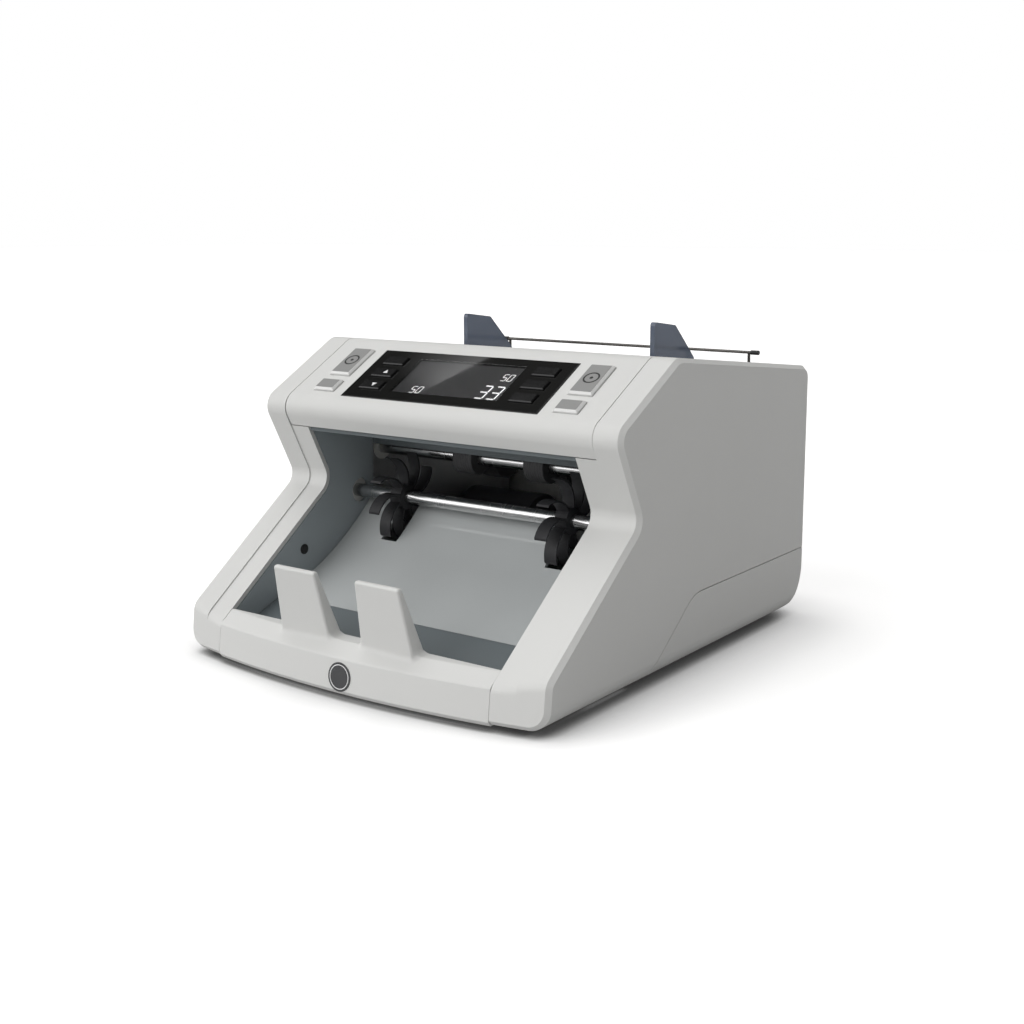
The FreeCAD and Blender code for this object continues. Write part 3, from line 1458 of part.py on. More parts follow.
inlet = new_body("mains_inlet")
pad(inlet, "XZ", f"{REAR} - inlet_depth", "inlet_depth", rectangle(
    "inlet_x - inlet_width / 2", "inlet_x + inlet_width / 2",
    "inlet_z - inlet_height / 2", "inlet_z + inlet_height / 2"))
pocket(inlet, "XZ", f"{REAR} - socket_depth", "socket_depth + 1", rectangle(
    "inlet_x - inlet_width / 2 + socket_wall", "inlet_x + inlet_width / 2 - socket_wall",
    "inlet_z - inlet_height / 2 + socket_wall", "inlet_z + inlet_height / 2 - socket_wall"))
for x, z in (("inlet_x - 7", "inlet_z - 2"), ("inlet_x", "inlet_z + 2"), ("inlet_x + 7", "inlet_z - 2")):
    pad(inlet, "XZ", f"{REAR} - socket_depth - 0.5", "pin_length + 0.5",
        rectangle(f"{x} - 1", f"{x} + 1", f"{z} - 2", f"{z} + 2"))
keep("mains_inlet", inlet)

ROCKER_PIVOT = f"{REAR} - rocker_depth - 2"
switch_case = new_body("power_switch_case")
pad(switch_case, "XZ", f"{REAR} - inlet_depth", "inlet_depth", rectangle(
    f"switch_x - ({SWITCH_WIDTH}) / 2", f"switch_x + ({SWITCH_WIDTH}) / 2",
    f"inlet_z - ({SWITCH_HEIGHT}) / 2", f"inlet_z + ({SWITCH_HEIGHT}) / 2"))
pocket(switch_case, "XZ", f"{ROCKER_PIVOT} - 2", "rocker_depth + 6", rectangle(
    "switch_x - rocker_width / 2", "switch_x + rocker_width / 2",
    "inlet_z - rocker_height / 2", "inlet_z + rocker_height / 2"))
keep("power_switch_case", switch_case)
rocker = new_body("power_rocker")
ROCKER_END = "rocker_height / 2 - 1.4"
pad(rocker, "YZ", "key_clearance - rocker_width / 2", "rocker_width - 2 * key_clearance", [
    ("0", f"-({ROCKER_END})"),
    ("rocker_depth", f"-({ROCKER_END})"),
    ("rocker_depth - rocker_dip", "0"),
    ("rocker_depth", ROCKER_END),
    ("0", ROCKER_END),
])
rocker.Placement = FreeCAD.Placement(Vector(), FreeCAD.Rotation(Vector(1, 0, 0), -size.rocker_tilt))
rocker.setExpression(".Placement.Rotation.Angle", formula("-1 * rocker_tilt"))
for letter, text in zip("xyz", ("switch_x", ROCKER_PIVOT, "inlet_z")):
    rocker.setExpression(f".Placement.Base.{letter}", formula(text))
keep("power_rocker", rocker)


# Feet and fasteners

feet = []
for i, (sign, y) in enumerate(corner_places(1, "foot_front_y", "foot_rear_y")):
    feet.append(cylinder(f"rubber_foot{i}", "Z", "foot_radius", "foot_height", (f"{sign} * foot_x", y, "0")))
group("rubber_feet", feet)
screws = []
for i, (sign, y) in enumerate(corner_places(1, "screw_front_y", "screw_rear_y")):
    x = f"{sign} * screw_x"
    screw_head = cylinder(f"screw_head{i}", "Z", "screw_head_radius", "screw_head_height",
                          (x, y, "foot_height - screw_head_height"))
    screw_shank = cylinder(f"screw_shank{i}", "Z", "screw_radius", "screw_length", (x, y, "foot_height"))
    screws.append(fuse(f"case_screw{i}", [screw_head, screw_shank]))
group("case_screws", screws)


# Checks and export

doc.recompute()
faults = [item.Name for item in doc.Objects if "Invalid" in item.State or "Error" in item.State]
for label, piece in nodes.items():
    if piece.Shape.isNull() or not piece.Shape.isValid() or not piece.Shape.Solids:
        faults.append(label)
if faults:
    raise RuntimeError(f"these pieces failed: {faults}")

os.makedirs("parts", exist_ok=True)
whole = FreeCAD.BoundBox()
for label, piece in nodes.items():
    piece.Shape.exportStep(f"parts/{label}.step")
    whole.add(piece.Shape.optimalBoundingBox(False))
print(f"{len(nodes)} pieces, {whole.XLength:.2f} x {whole.YLength:.2f} x {whole.ZLength:.2f} mm")
print(f"x from {whole.XMin:.2f}, y from {whole.YMin:.2f}, z from {whole.ZMin:.2f}")
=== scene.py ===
# %% [markdown]
# # A banknote counter, dressed for its picture
# The solids of the machine come from a CAD model and stay where they are. This lesson gives them the
# finishes of the real thing, softens their edges, and adds the small pieces that a moulded office machine
# carries: button inlays, display digits, screws, ribs and marks.

# %% Load the solids
import json
import math

import bmesh
import bpy
from mathutils import Matrix, Vector

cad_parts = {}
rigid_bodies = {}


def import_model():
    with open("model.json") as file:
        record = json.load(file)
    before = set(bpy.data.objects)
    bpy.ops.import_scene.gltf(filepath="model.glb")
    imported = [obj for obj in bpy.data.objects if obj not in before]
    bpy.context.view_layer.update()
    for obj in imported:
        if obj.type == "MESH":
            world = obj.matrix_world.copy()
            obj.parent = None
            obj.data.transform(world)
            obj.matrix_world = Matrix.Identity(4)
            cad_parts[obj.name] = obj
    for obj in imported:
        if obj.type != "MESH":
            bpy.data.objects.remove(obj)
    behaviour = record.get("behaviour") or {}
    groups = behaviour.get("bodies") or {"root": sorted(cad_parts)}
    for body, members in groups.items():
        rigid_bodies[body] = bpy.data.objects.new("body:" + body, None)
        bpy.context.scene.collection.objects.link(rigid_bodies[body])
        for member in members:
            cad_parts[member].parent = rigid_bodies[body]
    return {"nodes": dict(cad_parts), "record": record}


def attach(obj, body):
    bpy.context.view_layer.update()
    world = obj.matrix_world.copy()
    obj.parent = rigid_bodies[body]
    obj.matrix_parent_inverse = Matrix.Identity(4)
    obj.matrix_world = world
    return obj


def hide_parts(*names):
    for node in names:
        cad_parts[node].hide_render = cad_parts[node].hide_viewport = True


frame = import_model()
nodes = frame["nodes"]
record = frame["record"]
body_of_node = {node: body for body, members in record["behaviour"]["bodies"].items() for node in members}
slot_of_node = {part["node"]: part["material_slot"] for part in record["subparts"]}
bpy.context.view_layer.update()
MM = 0.001

# %% [markdown]
# ## Camera
# The picture was taken from the front right, a little above the machine. Position, direction and focal length
# come from lining up known corners. The optical centre lies a little to the right of the picture's middle and
# above it, which the small lens shift repeats without turning the camera.

# %% Camera
PICTURE = 1024                 # pixels along each side
FOCAL_PIXELS = 1371.587
OPTICAL_CENTRE = (540, 460)    # pixels from the upper left corner
SENSOR = 36                    # millimetres
yaw, pitch, roll = 0.616, 0.166, -0.002

camera_data = bpy.data.cameras.new("studio_camera")
camera = bpy.data.objects.new("studio_camera", camera_data)
bpy.context.scene.collection.objects.link(camera)
forward = Vector((-math.sin(yaw) * math.cos(pitch), math.cos(yaw) * math.cos(pitch), -math.sin(pitch)))
camera.location = (0.477007, -0.637779, 0.238373)
camera.rotation_mode = "QUATERNION"
camera.rotation_quaternion = forward.to_track_quat("-Z", "Y") @ Matrix.Rotation(-roll, 3, "Z").to_quaternion()
camera_data.sensor_width = SENSOR
camera_data.lens = FOCAL_PIXELS * SENSOR / PICTURE
camera_data.shift_x = (PICTURE / 2 - OPTICAL_CENTRE[0]) / PICTURE
camera_data.shift_y = (OPTICAL_CENTRE[1] - PICTURE / 2) / PICTURE
camera_data.clip_start = 0.01
camera_data.clip_end = 50
bpy.context.scene.camera = camera
print("camera", tuple(round(v, 3) for v in camera.location), "lens", round(camera_data.lens, 2))

# %% [markdown]
# ## Helpers for hand modelling
# Every operator acts on what is selected, so each piece starts from an empty selection. A finished piece sits
# at the origin with its place in its mesh, and rides on one of the machine's bodies. Places and sizes are in
# millimetres, and the helpers turn them into Blender's metres.

# %% Starting a piece
UP = Vector((0, 0, 1))
DOWN = Vector((0, 0, -1))
REARWARD = Vector((0, 1, 0))


def only(piece=None):
    """Make one object, or none, the selected and active one."""
    for other in bpy.context.view_layer.objects:
        other.select_set(False)
    if piece:
        piece.select_set(True)
    bpy.context.view_layer.objects.active = piece


def start(name, kind, **how):
    """New primitive, alone in the selection."""
    only()
    getattr(bpy.ops.mesh, f"primitive_{kind}_add")(**how)
    piece = bpy.context.active_object
    piece.name = name
    return piece


def at(x, y, z):
    """Placement that moves a piece."""
    return Matrix.Translation((x * MM, y * MM, z * MM))


def turned(degrees, axis):
    """Placement that turns a piece about an axis."""
    return Matrix.Rotation(math.radians(degrees), 4, axis)


def settle(piece, place=None):
    """Put the object's place, and then another placement, into its mesh."""
    only(piece)
    bpy.ops.object.transform_apply(location=True, rotation=True, scale=True)
    if place is not None:
        piece.matrix_world = place
        bpy.ops.object.transform_apply(location=True, rotation=True, scale=True)
    return piece


def sized_box(name, low, high):
    """Cube primitive stretched between two corners."""
    middle = [(a + b) / 2 * MM for a, b in zip(low, high)]
    spans = [(b - a) * MM for a, b in zip(low, high)]
    return settle(start(name, "cube", size=1, location=middle, scale=spans))


def upright_rod(name, sides, radius, height, middle):
    """Cylinder primitive on the Z axis, with its middle at a level."""
    return settle(start(name, "cylinder", vertices=sides, radius=radius * MM, depth=height * MM,
                        location=(0, 0, middle * MM)))


# %% Shaping in edit mode
def edit(piece, mode="FACE"):
    """Go into edit mode with nothing selected."""
    only(piece)
    bpy.ops.object.mode_set(mode="EDIT")
    bpy.ops.mesh.select_mode(type=mode)
    bpy.ops.mesh.select_all(action="DESELECT")


def leave():
    """Go back to object mode."""
    bpy.ops.object.mode_set(mode="OBJECT")


def pick_side(piece, direction):
    """Select only the faces that look along a direction."""
    bpy.ops.mesh.select_all(action="DESELECT")
    shape = bmesh.from_edit_mesh(piece.data)
    for face in shape.faces:
        face.select_set(face.normal.dot(direction) > 0.9)
    bmesh.update_edit_mesh(piece.data)


def pick_points(piece, test):
    """Select only the points that pass the test."""
    bpy.ops.mesh.select_all(action="DESELECT")
    shape = bmesh.from_edit_mesh(piece.data)
    for point in shape.verts:
        point.select_set(test(point.co))
    shape.select_flush(True)
    bmesh.update_edit_mesh(piece.data)


def lift(x, y, z):
    """Extrude the selected faces."""
    bpy.ops.mesh.extrude_region_move(TRANSFORM_OT_translate={"value": (x * MM, y * MM, z * MM)})


def inset_top(piece, margin, rise):
    """Inset the top face, and raise what lies inside the margin, or sink it where rise is negative."""
    edit(piece)
    pick_side(piece, UP)
    bpy.ops.mesh.inset(thickness=margin * MM)
    lift(0, 0, rise)
    leave()


def thicken(thickness):
    """Make a plate of the flat outline that is in edit mode, and leave edit mode."""
    bpy.ops.mesh.select_all(action="SELECT")
    lift(0, 0, thickness)
    bpy.ops.mesh.select_all(action="SELECT")
    bpy.ops.mesh.normals_make_consistent(inside=False)
    leave()


# %% Finishing a piece
def apply_modifier(piece, kind, **settings):
    """Add a modifier, set it and apply it."""
    only(piece)
    modifier = piece.modifiers.new(kind.lower(), kind)
    for name, number in settings.items():
        setattr(modifier, name, number)
    bpy.ops.object.modifier_apply(modifier=modifier.name)


def smooth_shaded(piece, angle):
    """Shade smoothly over edges flatter than an angle in degrees; large faces stay flat in the light."""
    only(piece)
    bpy.ops.object.shade_smooth_by_angle(angle=math.radians(angle))
    apply_modifier(piece, "WEIGHTED_NORMAL", keep_sharp=True)


def round_edges(piece, width, angle=40):
    """Soften the edges sharper than an angle with a narrow bevel."""
    apply_modifier(piece, "BEVEL", width=width * MM, segments=2, limit_method="ANGLE",
                   angle_limit=math.radians(angle), use_clamp_overlap=True)
    smooth_shaded(piece, 35)


def copy_of(piece, name, place):
    """Copy with its own mesh, moved by a placement."""
    twin = bpy.data.objects.new(name, piece.data.copy())
    bpy.context.scene.collection.objects.link(twin)
    return settle(twin, place)


def joined(name, pieces):
    """Several meshes as one piece."""
    only(pieces[0])
    for piece in pieces:
        piece.select_set(True)
    bpy.ops.object.join()
    pieces[0].name = name
    return pieces[0]


def repeated(name, pattern, places):
    """One piece made of a copy of the pattern at each placement; the pattern itself goes."""
    copies = [copy_of(pattern, pattern.name + "_copy", place) for place in places]
    bpy.data.objects.remove(pattern)
    return joined(name, copies)


def dress(piece, finish, body):
    """Give a new piece its finish and the body that it rides on."""
    piece.data.materials.clear()
    piece.data.materials.append(finish)
    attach(piece, body)
    return piece


# %% [markdown]
# ## Finishes
# Each finish is a small node tree on Object coordinates: a colour with slight cloudiness, a roughness that
# varies, and a bump at the scale of the moulded grain. Pictures of real plastic would do too, but noise has no
# seams and stays sharp at any distance. Numbers that are the same all over stay on the shader's own sockets.

# %% Finish builder
NOISE_LOW, NOISE_HIGH = 0.3, 0.7    # nearly all of a noise texture's values lie between these
TINT_SCALE = 9
ROUGHNESS_SCALE = 60
GRAIN_DEPTH = 0.0002


def add_node(tree, kind, sockets=None, **settings):
    """New shader node with its settings and with numbers on its sockets."""
    node = tree.nodes.new("ShaderNode" + kind)
    for name, choice in settings.items():
        setattr(node, name, choice)
    for socket, number in (sockets or {}).items():
        node.inputs[socket].default_value = number
    return node


def new_finish(name):
    """Material with a Principled shader; returns it with its tree, the shader and the coordinates."""
    finish = bpy.data.materials.new(name)
    finish.use_nodes = True
    tree = finish.node_tree
    return finish, tree, tree.nodes["Principled BSDF"], add_node(tree, "TexCoord").outputs["Object"]


def cloud(tree, place, scale, detail, stretch=(1, 1, 1)):
    """Noise over the piece; stretch above one makes it finer along that axis."""
    mapping = add_node(tree, "Mapping", {"Scale": stretch})
    noise = add_node(tree, "TexNoise", {"Scale": scale, "Detail": detail})
    tree.links.new(place, mapping.inputs["Vector"])
    tree.links.new(mapping.outputs["Vector"], noise.inputs["Vector"])
    return noise.outputs["Fac"]


def between(tree, amount, low, high):
    """Colour ramp over a noise value."""
    ramp = add_node(tree, "ValToRGB")
    for element, position, colour in zip(ramp.color_ramp.elements, (NOISE_LOW, NOISE_HIGH), (low, high)):
        element.position = position
        element.color = (*colour, 1)
    tree.links.new(amount, ramp.inputs["Fac"])
    return ramp.outputs["Color"]


def spread(tree, amount, low, high):
    """Map a noise value to a range."""
    node = add_node(tree, "MapRange",
                    {"From Min": NOISE_LOW, "From Max": NOISE_HIGH, "To Min": low, "To Max": high})
    tree.links.new(amount, node.inputs["Value"])
    return node.outputs["Result"]


def bump(tree, shader, height, strength, distance):
    """Grain on the shader's normal."""
    node = add_node(tree, "Bump", {"Strength": strength, "Distance": distance})
    tree.links.new(height, node.inputs["Height"])
    tree.links.new(node.outputs["Normal"], shader.inputs["Normal"])


def shade(colour, factor):
    """Lighter or darker colour."""
    return tuple(min(channel * factor, 1) for channel in colour)


def moulded(name, colour, rough=(0.42, 0.52), grain=1600, strength=0.12, cloudiness=0.03, gloss=0.3,
            stretch=(1, 1, 1), sockets=None):
    """Plastic, rubber or metal with cloudy colour, uneven roughness and a fine grain."""
    finish, tree, shader, place = new_finish(name)
    tint = cloud(tree, place, TINT_SCALE, 4)
    tree.links.new(between(tree, tint, shade(colour, 1 - cloudiness), shade(colour, 1 + cloudiness)),
                   shader.inputs["Base Color"])
    tree.links.new(spread(tree, cloud(tree, place, ROUGHNESS_SCALE, 4, stretch), *rough),
                   shader.inputs["Roughness"])
    bump(tree, shader, cloud(tree, place, grain, 2, stretch), strength, GRAIN_DEPTH)
    shader.inputs["Specular IOR Level"].default_value = gloss
    for socket, number in (sockets or {}).items():
        shader.inputs[socket].default_value = number
    return finish


# %% [markdown]
# ## The machine's plastics, rubbers and metals
# The casing is pale grey ABS with a fine spark-eroded grain. The bezel and the caps are black or grey ABS, the
# hopper's guides are smoked acrylic that lets the light through, and the pocket is lined with slate plastic, whose
# walls carry a lighter copy of it as painted light.
# One builder serves them all, because they differ only in colour, gloss and grain.

# %% Finishes by material slot
METAL = {"Metallic": 1.0}
CLEAR = {"Transmission Weight": 1.0}
SMOKED = {"Transmission Weight": 0.5, "IOR": 1.49}
LACQUER = {"Coat Weight": 0.5}

# After the name: colour, range of roughness, scale and strength of the grain, cloudiness, gloss.
FINISH = {
    "body_plastic": moulded("pale_casing_plastic", (0.66, 0.66, 0.645), cloudiness=0.01),
    "button_plastic": moulded("light_cap_plastic", (0.7, 0.7, 0.69), (0.22, 0.28), 1200, 0.04, 0.015, 0.6),
    "key_plastic": moulded("black_key_plastic", (0.008, 0.008, 0.0082), (0.2, 0.26), 1200, 0.03, 0.1, 0.3),
    "black_plastic": moulded("black_moulded_plastic", (0.012, 0.012, 0.0125), (0.3, 0.4), 1200, 0.06, 0.1, 0.35),
    "slate_plastic": moulded("slate_pocket_plastic", (0.13, 0.15, 0.158), (0.34, 0.44), cloudiness=0.05),
    "glossy_sheet": moulded("polished_sheet", (0.5, 0.52, 0.52), (0.1, 0.2), 260, 0.05, 0.04, 0.5,
                            sockets=LACQUER),
    "badge": moulded("dark_badge_enamel", (0.062, 0.062, 0.065), (0.25, 0.35), cloudiness=0.1, gloss=0.4),
    "white_nylon": moulded("white_nylon", (0.72, 0.72, 0.69), (0.4, 0.5)),
    "circuit_board": moulded("green_board", (0.015, 0.12, 0.05), (0.3, 0.4), 700, 0.08, 0.12),
    "bright_steel": moulded("turned_steel", (0.5, 0.5, 0.5), (0.24, 0.28), 90, 0.006, 0.03, 0.5,
                            stretch=(8, 1, 1), sockets=METAL),
    "plated_steel": moulded("plated_sheet_steel", (0.5, 0.51, 0.52), (0.32, 0.42), 120, 0.008, 0.05, 0.5,
                            stretch=(1, 8, 1), sockets=METAL),
    "motor_case": moulded("dark_motor_paint", (0.06, 0.06, 0.065), (0.35, 0.5), 800, 0.1, 0.08),
    "roller_rubber": moulded("grey_roller_rubber", (0.05, 0.05, 0.052), (0.65, 0.8), 1200, 0.3, 0.1),
    "fin_rubber": moulded("black_fin_rubber", (0.025, 0.025, 0.027), (0.5, 0.65), 1200, 0.2, 0.1),
    "belt_rubber": moulded("black_belt_rubber", (0.02, 0.02, 0.02), (0.6, 0.75), 1200, 0.3, 0.1),
    "smoked_plastic": moulded("smoked_guide_acrylic", (0.19, 0.225, 0.3), (0.08, 0.12), 300, 0.006, 0.05, 0.5,
                              sockets=SMOKED),
    "display_window": moulded("clear_window_acrylic", (0.9, 0.9, 0.9), (0.015, 0.03), 300, 0.004, 0.02, 0.5,
                              sockets=CLEAR),
}
DARK_WIRE = moulded("blackened_wire", (0.09, 0.085, 0.08), (0.25, 0.35), 300, 0.05, 0.1, 0.5,
                    stretch=(8, 1, 1), sockets=METAL)
BEZEL = moulded("polished_bezel_plastic", (0.013, 0.013, 0.0125), (0.02, 0.035), 60, 0.0006, 0.08, 0.4)
INLAY = moulded("grey_cap_inlay", (0.275, 0.275, 0.27), (0.4, 0.48), 900, 0.05, 0.02)
DARK_PRINT = moulded("dark_print", (0.02, 0.02, 0.02), (0.4, 0.5), 900, 0.04, 0.1)
# Painted light: the pocket's walls take a lighter copy of the slate plastic, as if they stood lit.
SLATE_PAINTED_AS_LIT = moulded("slate_painted_lit_wall", (0.36, 0.4, 0.42), (0.34, 0.44), cloudiness=0.05)
WHITE_PRINT = moulded("white_print", (0.8, 0.8, 0.8), (0.4, 0.5), 900, 0.04, 0.02)
print(len(FINISH), "finishes by slot")

# %% [markdown]
# ## Lit display
# The display is a dark crystal panel with a weak lamp behind it, so its face glows a little and its digits glow
# white. A lamp could sit behind the panel in the scene, but emission in the finish gives the same look with
# less noise. A faint unevenness keeps the face from looking printed.

# %% Finishes that glow
def glowing(name, colour, low, high):
    """Display face whose glow varies a little from place to place."""
    finish, tree, shader, place = new_finish(name)
    uneven = cloud(tree, place, 30, 2)
    tone = between(tree, uneven, shade(colour, 0.96), shade(colour, 1.04))
    tree.links.new(tone, shader.inputs["Base Color"])
    tree.links.new(tone, shader.inputs["Emission Color"])
    tree.links.new(spread(tree, uneven, low, high), shader.inputs["Emission Strength"])
    shader.inputs["Roughness"].default_value = 0.5
    return finish


FINISH["display_panel"] = glowing("display_face", (0.028, 0.028, 0.029), 0.9, 1.05)
DIGIT_GLOW = glowing("display_digits", (0.9, 0.9, 0.9), 0.95, 1.05)
print("display face and digits")

# %% [markdown]
# ## Skins for the solids
# A CAD solid arrives as loose triangles, which would show every facet on a rounded edge. A copy with its
# points merged can be shaded smoothly, and a small bevel gives each moulded edge the thin highlight that a
# real moulding has. The large covers have their bevels in the solid already. Flat sheet pieces keep their own
# mesh and only get a finish.

# %% Skin helper
MERGE_DISTANCE = 0.000005
FLAT_ANGLE = 0.3
SMOOTH_ANGLE = 30
SHARP_ANGLE = 50


def skin(node, edge):
    """Merged, smoothly shaded copy that stands for a solid; edge is the width of its bevel, or zero."""
    copy = bpy.data.objects.new(node + "_skin", nodes[node].data.copy())
    bpy.context.scene.collection.objects.link(copy)
    edit(copy)
    bpy.ops.mesh.select_all(action="SELECT")
    bpy.ops.mesh.remove_doubles(threshold=MERGE_DISTANCE)
    if edge:
        bpy.ops.mesh.dissolve_limited(angle_limit=math.radians(FLAT_ANGLE))
    leave()
    bpy.ops.mesh.customdata_custom_splitnormals_clear()
    if edge:
        round_edges(copy, edge, SHARP_ANGLE)
    else:
        smooth_shaded(copy, SMOOTH_ANGLE)
    dress(copy, FINISH[slot_of_node[node]], body_of_node[node])
    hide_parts(node)
    return copy


# %% Skins
SKINNED = {
    "right_side_cover": 0, "left_side_cover": 0, "base_tray": 0, "panel_housing": 0, "front_lip": 0,
    "stacker_plate": 0, "stacker_wheels": 0, "lip_badge": 0, "left_note_guide": 0.25, "right_note_guide": 0.25,
    "note_rest": 0, "note_rest_caps": 0.2, "gap_screw": 0.2, "pickup_tyres": 0.4, "feed_tyres": 0.4,
    "transport_tyres": 0.4, "pinch_rollers": 0, "pickup_shaft": 0, "feed_shaft": 0, "transport_shaft": 0,
    "stacker_shaft": 0, "feed_motor": 0.8, "stacker_motor": 0.8, "tie_rods": 0, "hopper_tray": 0,
}
caps = [f"{row}_key_{side}" for row in ("top", "middle", "bottom") for side in ("left", "right")]
caps += [f"{name}_button_{side}" for name in ("start", "clear") for side in ("left", "right")]
SKINNED.update({cap: 0.3 for cap in caps})
skins = {node: skin(node, edge) for node, edge in SKINNED.items()}
for node, piece in nodes.items():
    if node not in skins:
        piece.data.materials.clear()
        piece.data.materials.append(FINISH[slot_of_node[node]])
skins["note_rest"].data.materials[0] = DARK_WIRE
nodes["display_bezel"].data.materials[0] = BEZEL
# The pocket walls get the lighter copy of the slate plastic, which is painted light.
nodes["pocket_walls"].data.materials[0] = SLATE_PAINTED_AS_LIT
print(len(skins), "skins")

# %% [markdown]
# ## Marks on the buttons
# The four light caps carry a grey inlay, and the two large ones a ring with a dot. The black keys carry plain
# arrows. Each mark is a thin printed film, so it is a flat outline with a hair of thickness. All of them are
# drawn in the panel's own frame, with the ridge as origin and y up the slope, and then laid on the slope.

# %% Panel frame and outlines
PANEL_RIDGE = (0, -14.4, 172.9)
PANEL_SLOPE = 29.6
PANEL = at(*PANEL_RIDGE) @ turned(PANEL_SLOPE, "X")
FILM = 0.04


def flat_plate(name, low, high, corner, thickness):
    """Thin plate with rounded corners; low holds x, y and z, high holds x and y."""
    plate = start(name, "plane", size=1,
                  location=((low[0] + high[0]) / 2 * MM, (low[1] + high[1]) / 2 * MM, low[2] * MM))
    plate.scale = ((high[0] - low[0]) * MM, (high[1] - low[1]) * MM, 1)
    settle(plate)
    edit(plate, "VERT")
    bpy.ops.mesh.select_all(action="SELECT")
    bpy.ops.mesh.bevel(offset=corner * MM, segments=4, affect="VERTICES")
    thicken(thickness)
    return plate


def ring_film(name, x, y, z, outer, inner, thickness):
    """Flat ring, or a dot where inner is zero."""
    film = start(name, "circle", vertices=48, radius=outer * MM, fill_type="NGON",
                 location=(x * MM, y * MM, z * MM))
    settle(film)
    edit(film)
    bpy.ops.mesh.select_all(action="SELECT")
    if inner:
        bpy.ops.mesh.inset(thickness=(outer - inner) * MM)
        bpy.ops.mesh.delete(type="FACE")
    thicken(thickness)
    return film


# %% Inlays and ring marks
BUTTON_X = 85.0
CAP_TOP = 2.0
CAP_HALF_WIDTH = 7.6
CAP_ROWS = {"start": (12.5, 38.8), "clear": (44.4, 54.6)}    # upper and lower edge, down the slope
INLAY_MARGIN = 1.15
INLAY_BASE = CAP_TOP - 0.02
RING_Y = -25.4
RING_BASE = CAP_TOP + 0.07
for side, sign in (("left", -1), ("right", 1)):
    middle = sign * BUTTON_X
    for cap, (top, bottom) in CAP_ROWS.items():
        inlay = flat_plate(f"{cap}_inlay_{side}",
                           (middle - CAP_HALF_WIDTH + INLAY_MARGIN, INLAY_MARGIN - bottom, INLAY_BASE),
                           (middle + CAP_HALF_WIDTH - INLAY_MARGIN, -top - INLAY_MARGIN), 0.5, 0.1)
        dress(settle(inlay, PANEL), INLAY, f"{cap}_button_{side}")
    ring = ring_film(f"start_ring_{side}", middle, RING_Y, RING_BASE, 4.8, 3.8, FILM)
    dot = ring_film(f"start_dot_{side}", middle, RING_Y, RING_BASE, 1.05, 0, FILM)
    mark = joined(f"start_mark_{side}", [ring, dot])
    dress(settle(mark, PANEL), DARK_PRINT, f"start_button_{side}")
print("inlays and ring marks")

# %% Arrow marks
KEY_TOP = 1.6
ARROW_X = -52.0
ARROW_SIZE = (1.9, 2.1)


def arrow_film(name, y, turn):
    """Triangle that points up the slope, or down where turn is 180."""
    film = start(name, "circle", vertices=3, radius=1, fill_type="NGON",
                 location=(ARROW_X * MM, y * MM, KEY_TOP * MM), rotation=(0, 0, math.radians(turn)))
    film.scale = (ARROW_SIZE[0] * MM, ARROW_SIZE[1] * MM, MM)
    settle(film)
    edit(film)
    thicken(FILM)
    return settle(film, PANEL)


for row, y, turn in (("middle", -33.9, 0), ("bottom", -46.0, 180)):
    dress(arrow_film(f"{row}_arrow", y, turn), WHITE_PRINT, f"{row}_key_left")
print("arrows")

# %% [markdown]
# ## Display window and digits
# Under the clear window the count stands in seven-segment digits. One segment is a hexagon pulled long, and
# every lit segment is a turned copy of it. The digits lean to the right, as such digits do. The window is drawn as
# a thin sheet at the top of its solid, because the cut edge of a thick one would catch a bright line of light.

# %% Window
WINDOW_TOP = 0.4
window = sized_box("display_glass", (-37.97, -49.97, 0.15), (37.97, -17.43, WINDOW_TOP))
round_edges(window, 0.03)
dress(settle(window, PANEL), FINISH["display_window"], "casing")
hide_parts("display_window")
print("window", [round(v, 4) for v in window.dimensions])

# %% Digits
SEGMENTS = {"0": "abcdef", "3": "abcdg", "5": "acdfg"}
COUNTS = (    # figures, left, bottom, width, height, stroke and pitch
    ("33", 20.9, -47.8, 5.2, 11.4, 1.0, 8.1),
    ("50", 27.4, -30.7, 2.8, 5.9, 0.55, 4.1),
    ("50", -25.6, -48.0, 2.9, 5.8, 0.55, 4.3),
)
LCD_FACE = -0.8
HEXAGON_WIDTH = 1.73     # across the flats, at radius one
SEGMENT_SHARE = 0.94     # of the side that a segment fills
DIGIT_LEAN = 4


def segment(length, width):
    """Upright bar with pointed ends, lying flat at the origin."""
    radius = width / HEXAGON_WIDTH
    bar = settle(start("segment", "circle", vertices=6, radius=radius * MM, fill_type="NGON"))
    edit(bar, "VERT")
    for sign in (-1, 1):
        pick_points(bar, lambda p: sign * p.y > 1e-6)
        bpy.ops.transform.translate(value=(0, sign * (length / 2 - radius) * MM, 0))
    thicken(FILM)
    return bar


def digit(figure, x, y, width, height, stroke):
    """Seven-segment figure with its lower left corner at x, y."""
    arm = height / 2
    places = {"a": (width / 2, height, 90), "d": (width / 2, 0, 90), "g": (width / 2, arm, 90),
              "b": (width, 1.5 * arm, 0), "c": (width, arm / 2, 0), "e": (0, arm / 2, 0), "f": (0, 1.5 * arm, 0)}
    bars = {90: segment(width * SEGMENT_SHARE, stroke), 0: segment(arm * SEGMENT_SHARE, stroke)}
    lit = []
    for name in SEGMENTS[figure]:
        across, up, turn = places[name]
        across += up * math.tan(math.radians(DIGIT_LEAN))
        place = at(x + across, y + up, LCD_FACE) @ turned(turn or -DIGIT_LEAN, "Z")
        lit.append(copy_of(bars[turn], "lit_segment", place))
    for bar in bars.values():
        bpy.data.objects.remove(bar)
    return lit


lit = []
for figures, x, y, width, height, stroke, pitch in COUNTS:
    for i, figure in enumerate(figures):
        lit += digit(figure, x + i * pitch, y, width, height, stroke)
digits = joined("count_digits", lit)
dress(settle(digits, PANEL), DIGIT_GLOW, "casing")
print("digits", len(digits.data.polygons), "faces")

# %% [markdown]
# ## Badge
# The round badge on the lip stays plain: a dark disc with one fine ring on its face. The ring is a thin film
# like the marks on the buttons, laid on the lip's lean.

